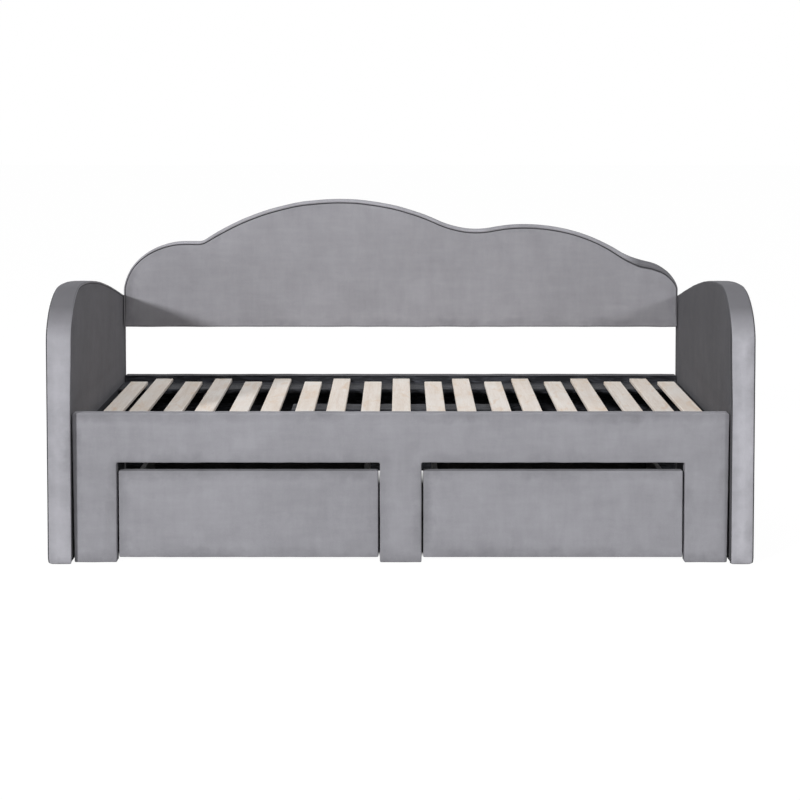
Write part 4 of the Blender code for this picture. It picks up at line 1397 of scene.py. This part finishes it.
def slat_finish():
    """Planed softwood: long fine grain along Y, and a tone that changes from slat to slat."""
    material, tree, shader = new_finish("slat wood", 0.62, 0.25)
    rings = noise(tree, 70, 4, 0.6, stretch=(1, 0.045, 1), twist=0.4)
    fibres = noise(tree, 420, 2, 0.6, stretch=(1, 0.05, 1))
    plank = noise(tree, 9.3, 0, 0.5, stretch=(1, 0, 0))
    stain = noise(tree, 7, 3, 0.5, stretch=(1, 0.5, 1))
    knots = noise(tree, 26, 3, 0.6, stretch=(1, 0.30, 1), twist=0.8)
    grain = mingled(tree, 0.6, rings, fibres)
    colour = mixed(tree, ranged(tree, grain, 0.38, 0.64, 0, 1), SAPWOOD, GRAIN_WOOD)
    colour = mixed(tree, ranged(tree, plank, 0.35, 0.65, 0, 0.5), colour, DARK_PLANK)
    colour = mixed(tree, ranged(tree, stain, 0.48, 0.70, 0, 0.5), colour, PALE_STAIN)
    colour = mixed(tree, ranged(tree, knots, 0.54, 0.72, 0, 0.62), colour, KNOT_WOOD)
    tree.links.new(colour, shader.inputs["Base Color"])
    bump(tree, shader, grain, 0.3, GRAIN_HEIGHT)
    return material


def board_finish(name, pale, dark, flecks, roughness):
    """Board pressed from chips: two sizes of flecks between a pale and a dark tone."""
    material, tree, shader = new_finish(name, roughness, 0.3)
    dust = noise(tree, flecks * 3, 3, 0.6)
    share = mingled(tree, 0.6, mosaic(tree, (1, 0.4, 1), flecks), dust)
    tree.links.new(mixed(tree, share, (*pale, 1.0), (*dark, 1.0)), shader.inputs["Base Color"])
    bump(tree, shader, dust, 0.2, CHIP_HEIGHT)
    return material


SLAT_WOOD = slat_finish()
FRAME_BOARD = board_finish("frame board", (0.62, 0.50, 0.34), (0.44, 0.32, 0.19), 160, 0.8)
DRAWER_BOARD = board_finish("drawer board", (0.062, 0.060, 0.062), (0.036, 0.035, 0.036), 420, 0.5)
print("wood finishes:", SLAT_WOOD.name, FRAME_BOARD.name, DRAWER_BOARD.name)

# %% [markdown]
# ## Steel and moulded nylon
# The channels under the drawers and the backrest's bolts are zinc plated, which freezes in
# dull patches. The wheels are black nylon with a fine moulded grain, worn grey by the floor.


# %% Steel and nylon finishes
DULL_ZINC = (0.50, 0.51, 0.53, 1)
BRIGHT_ZINC = (0.66, 0.67, 0.69, 1)
NYLON_BLACK = (0.028, 0.028, 0.030, 1)
WORN_NYLON = (0.075, 0.073, 0.070, 1)
ROLLING_HEIGHT = 0.0002
MOULD_HEIGHT = 0.0001


def steel_finish():
    """Zinc plate: large patches of other gloss, and fine rolling marks along it."""
    material, tree, shader = new_finish("zinc plate", 0.4, 0.5, 1.0)
    marks = noise(tree, 260, 3, 0.6, stretch=(1, 0.03, 1))
    tone = mingled(tree, 0.5, mosaic(tree, (1, 1, 1), 140), marks)
    colour = mixed(tree, tone, DULL_ZINC, BRIGHT_ZINC)
    tree.links.new(colour, shader.inputs["Base Color"])
    tree.links.new(ranged(tree, tone, 0, 1, 0.30, 0.50), shader.inputs["Roughness"])
    bump(tree, shader, marks, 0.15, ROLLING_HEIGHT)
    return material


def nylon_finish():
    """Black nylon: a fine moulded grain and cloudy grey wear."""
    material, tree, shader = new_finish("black nylon", 0.5, 0.45)
    grain = noise(tree, 2400, 2, 0.5)
    wear = noise(tree, 160, 4, 0.6)
    colour = mixed(tree, ranged(tree, wear, 0.45, 0.75, 0, 1), NYLON_BLACK, WORN_NYLON)
    tree.links.new(colour, shader.inputs["Base Color"])
    tree.links.new(ranged(tree, wear, 0.3, 0.7, 0.42, 0.65), shader.inputs["Roughness"])
    bump(tree, shader, grain, 0.25, MOULD_HEIGHT)
    return material


STEEL = steel_finish()
NYLON = nylon_finish()
print("metal and nylon finishes:", STEEL.name, NYLON.name)

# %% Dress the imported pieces
FINISH_OF_SLOT = {
    "velvet": BACKREST_VELVET,
    "frame_board": FRAME_BOARD,
    "slat_wood": SLAT_WOOD,
    "lining": LINING,
    "drawer_board": DRAWER_BOARD,
    "steel": STEEL,
    "wheel_plastic": NYLON,
}


def dress(part):
    """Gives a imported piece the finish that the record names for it."""
    piece = bpy.data.objects[part["node"]]
    material = FINISH_OF_SLOT[part["material_slot"]]
    if not piece.data.materials:
        piece.data.materials.append(material)
    for slot in piece.material_slots:
        slot.material = material


for part in frame["record"]["subparts"]:
    dress(part)

# %% [markdown]
# ## Light and floor
# The photograph has two large soft lamps, one on each side of the camera. Their light
# darkens the arms' inner faces, which are also painted darker, and leaves a shadow of each
# arm low on the backrest.
# A third lamp overhead lights the slats, and the room behind the bed glows on its back.
# The floor and the room are white where a camera sees them. White paper that is lit from
# below would do the same. Under the bed that glow is left out, a painted shadow that makes
# the gaps round the drawers look dark, and it comes back slowly behind the bed.


# %% Lamps
AIM_HEIGHT = 0.45


def soft_lamp(name, azimuth, elevation, distance, size, power):
    """A square soft lamp that looks at the bed's middle, placed by its angles from the front."""
    data = bpy.data.lights.new(name, "AREA")
    data.shape = "SQUARE"
    data.size = size
    data.energy = power
    lamp = bpy.data.objects.new(name, data)
    turn = math.radians(azimuth)
    rise = math.radians(elevation)
    flat = distance * math.cos(rise)
    lamp.location = (
        flat * math.sin(turn),
        -flat * math.cos(turn),
        AIM_HEIGHT + distance * math.sin(rise),
    )
    lamp.rotation_euler = (math.pi / 2 - rise, 0, turn)
    bpy.context.scene.collection.objects.link(lamp)


# Each lamp's angle round the bed and over it, its distance, its width and its power.
LAMPS = {
    "left lamp": (-34, 20, 20.0, 1.5, 2760),
    "right lamp": (34, 21, 20.0, 2.3, 900),
    "top lamp": (0, 86, 4.5, 1.2, 69),
}
for lamp_name, settings in LAMPS.items():
    soft_lamp(lamp_name, *settings)
print("lamps:", len(LAMPS))

# %% The room
ROOM_GLOW = (0.085, 0.36)  # in front of the bed and overhead, and towards its rear
REAR_TURN = 0.9  # how squarely a ray has to point to the rear for the whole of it


def seen_ray(tree):
    """1 for a ray from the camera, straight, by a gloss or through glass, else 0."""
    ray = node(tree, "ShaderNodeLightPath").outputs
    return highest(tree, ray["Is Camera Ray"], ray["Is Glossy Ray"], ray["Is Transmission Ray"])


world = bpy.data.worlds.new("room")
bpy.context.scene.world = world
world.use_nodes = True
room_tree = world.node_tree
room_light = room_tree.nodes["Background"]
room_light.inputs["Color"].default_value = (1, 1, 1, 1)
room_glow = ranged(room_tree, place_in_object(room_tree)[1], 0.0, REAR_TURN, *ROOM_GLOW)
room_glow = highest(room_tree, room_glow, seen_ray(room_tree))
room_tree.links.new(room_glow, room_light.inputs["Strength"])
print("the room glows by", ROOM_GLOW)

# %% The floor
FLOOR_HALF = 30.0
FLOOR_DROP = 0.0002  # under the bed's feet
FLOOR_GREYS = ((0.42, 0.42, 0.42, 1), (0.48, 0.48, 0.48, 1))
FLOOR_GLOW = 1.09
FLOOR_GLOW_SHARE = 0.90
OPEN_SIDES = (BAY_HALF + 0.004, BAY_HALF + ARM_THICKNESS)  # the glow is left out up to the first
OPEN_FRONT = (FRONT_Y + 0.09, FRONT_Y + 0.15)
OPEN_REAR = (0.56, 0.86)
SPREAD_BEHIND = (0.50, 0.86, 0, 0.26)  # behind the bed the painted shadow narrows by up to the last


def floor_finish():
    """White paper that glows for a camera, but for a painted shadow under and behind the bed."""
    material, tree, shader = new_finish("floor white", 0.9, 0.1)
    colour = mixed(tree, noise(tree, 30, 3), *FLOOR_GREYS)
    tree.links.new(colour, shader.inputs["Base Color"])
    axes = place_in_object(tree)
    across = combined(tree, "ABSOLUTE", axes[0], 0.0)
    across = combined(tree, "ADD", across, ranged(tree, axes[1], *SPREAD_BEHIND))
    sides = ranged(tree, across, *OPEN_SIDES, 0, 1)
    front = ranged(tree, axes[1], *OPEN_FRONT, 1, 0)
    rear = ranged(tree, axes[1], *OPEN_REAR, 0, 1)
    # Painted shadow: under the bed, and fading out behind it, the glow is left out.
    whiteness = ranged(tree, highest(tree, sides, front, rear), 0, 1, 0.0, FLOOR_GLOW)
    glow = node(tree, "ShaderNodeEmission", {"Color": (1, 1, 1, 1), "Strength": whiteness})
    share = ranged(tree, seen_ray(tree), 0, 1, 0.0, FLOOR_GLOW_SHARE)
    layers = {0: share, 1: shader.outputs[0], 2: glow.outputs[0]}
    surface = node(tree, "ShaderNodeMixShader", layers).outputs[0]
    tree.links.new(surface, tree.nodes["Material Output"].inputs["Surface"])
    return material


floor_points = np.array(((-1, -1, 0), (1, -1, 0), (1, 1, 0), (-1, 1, 0))) * FLOOR_HALF
floor = new_piece("floor", floor_points - (0, 0, FLOOR_DROP), [(0, 1, 2, 3)], floor_finish())
print("floor and room are white")

# %% [markdown]
# ## The end

# %% The end
import json
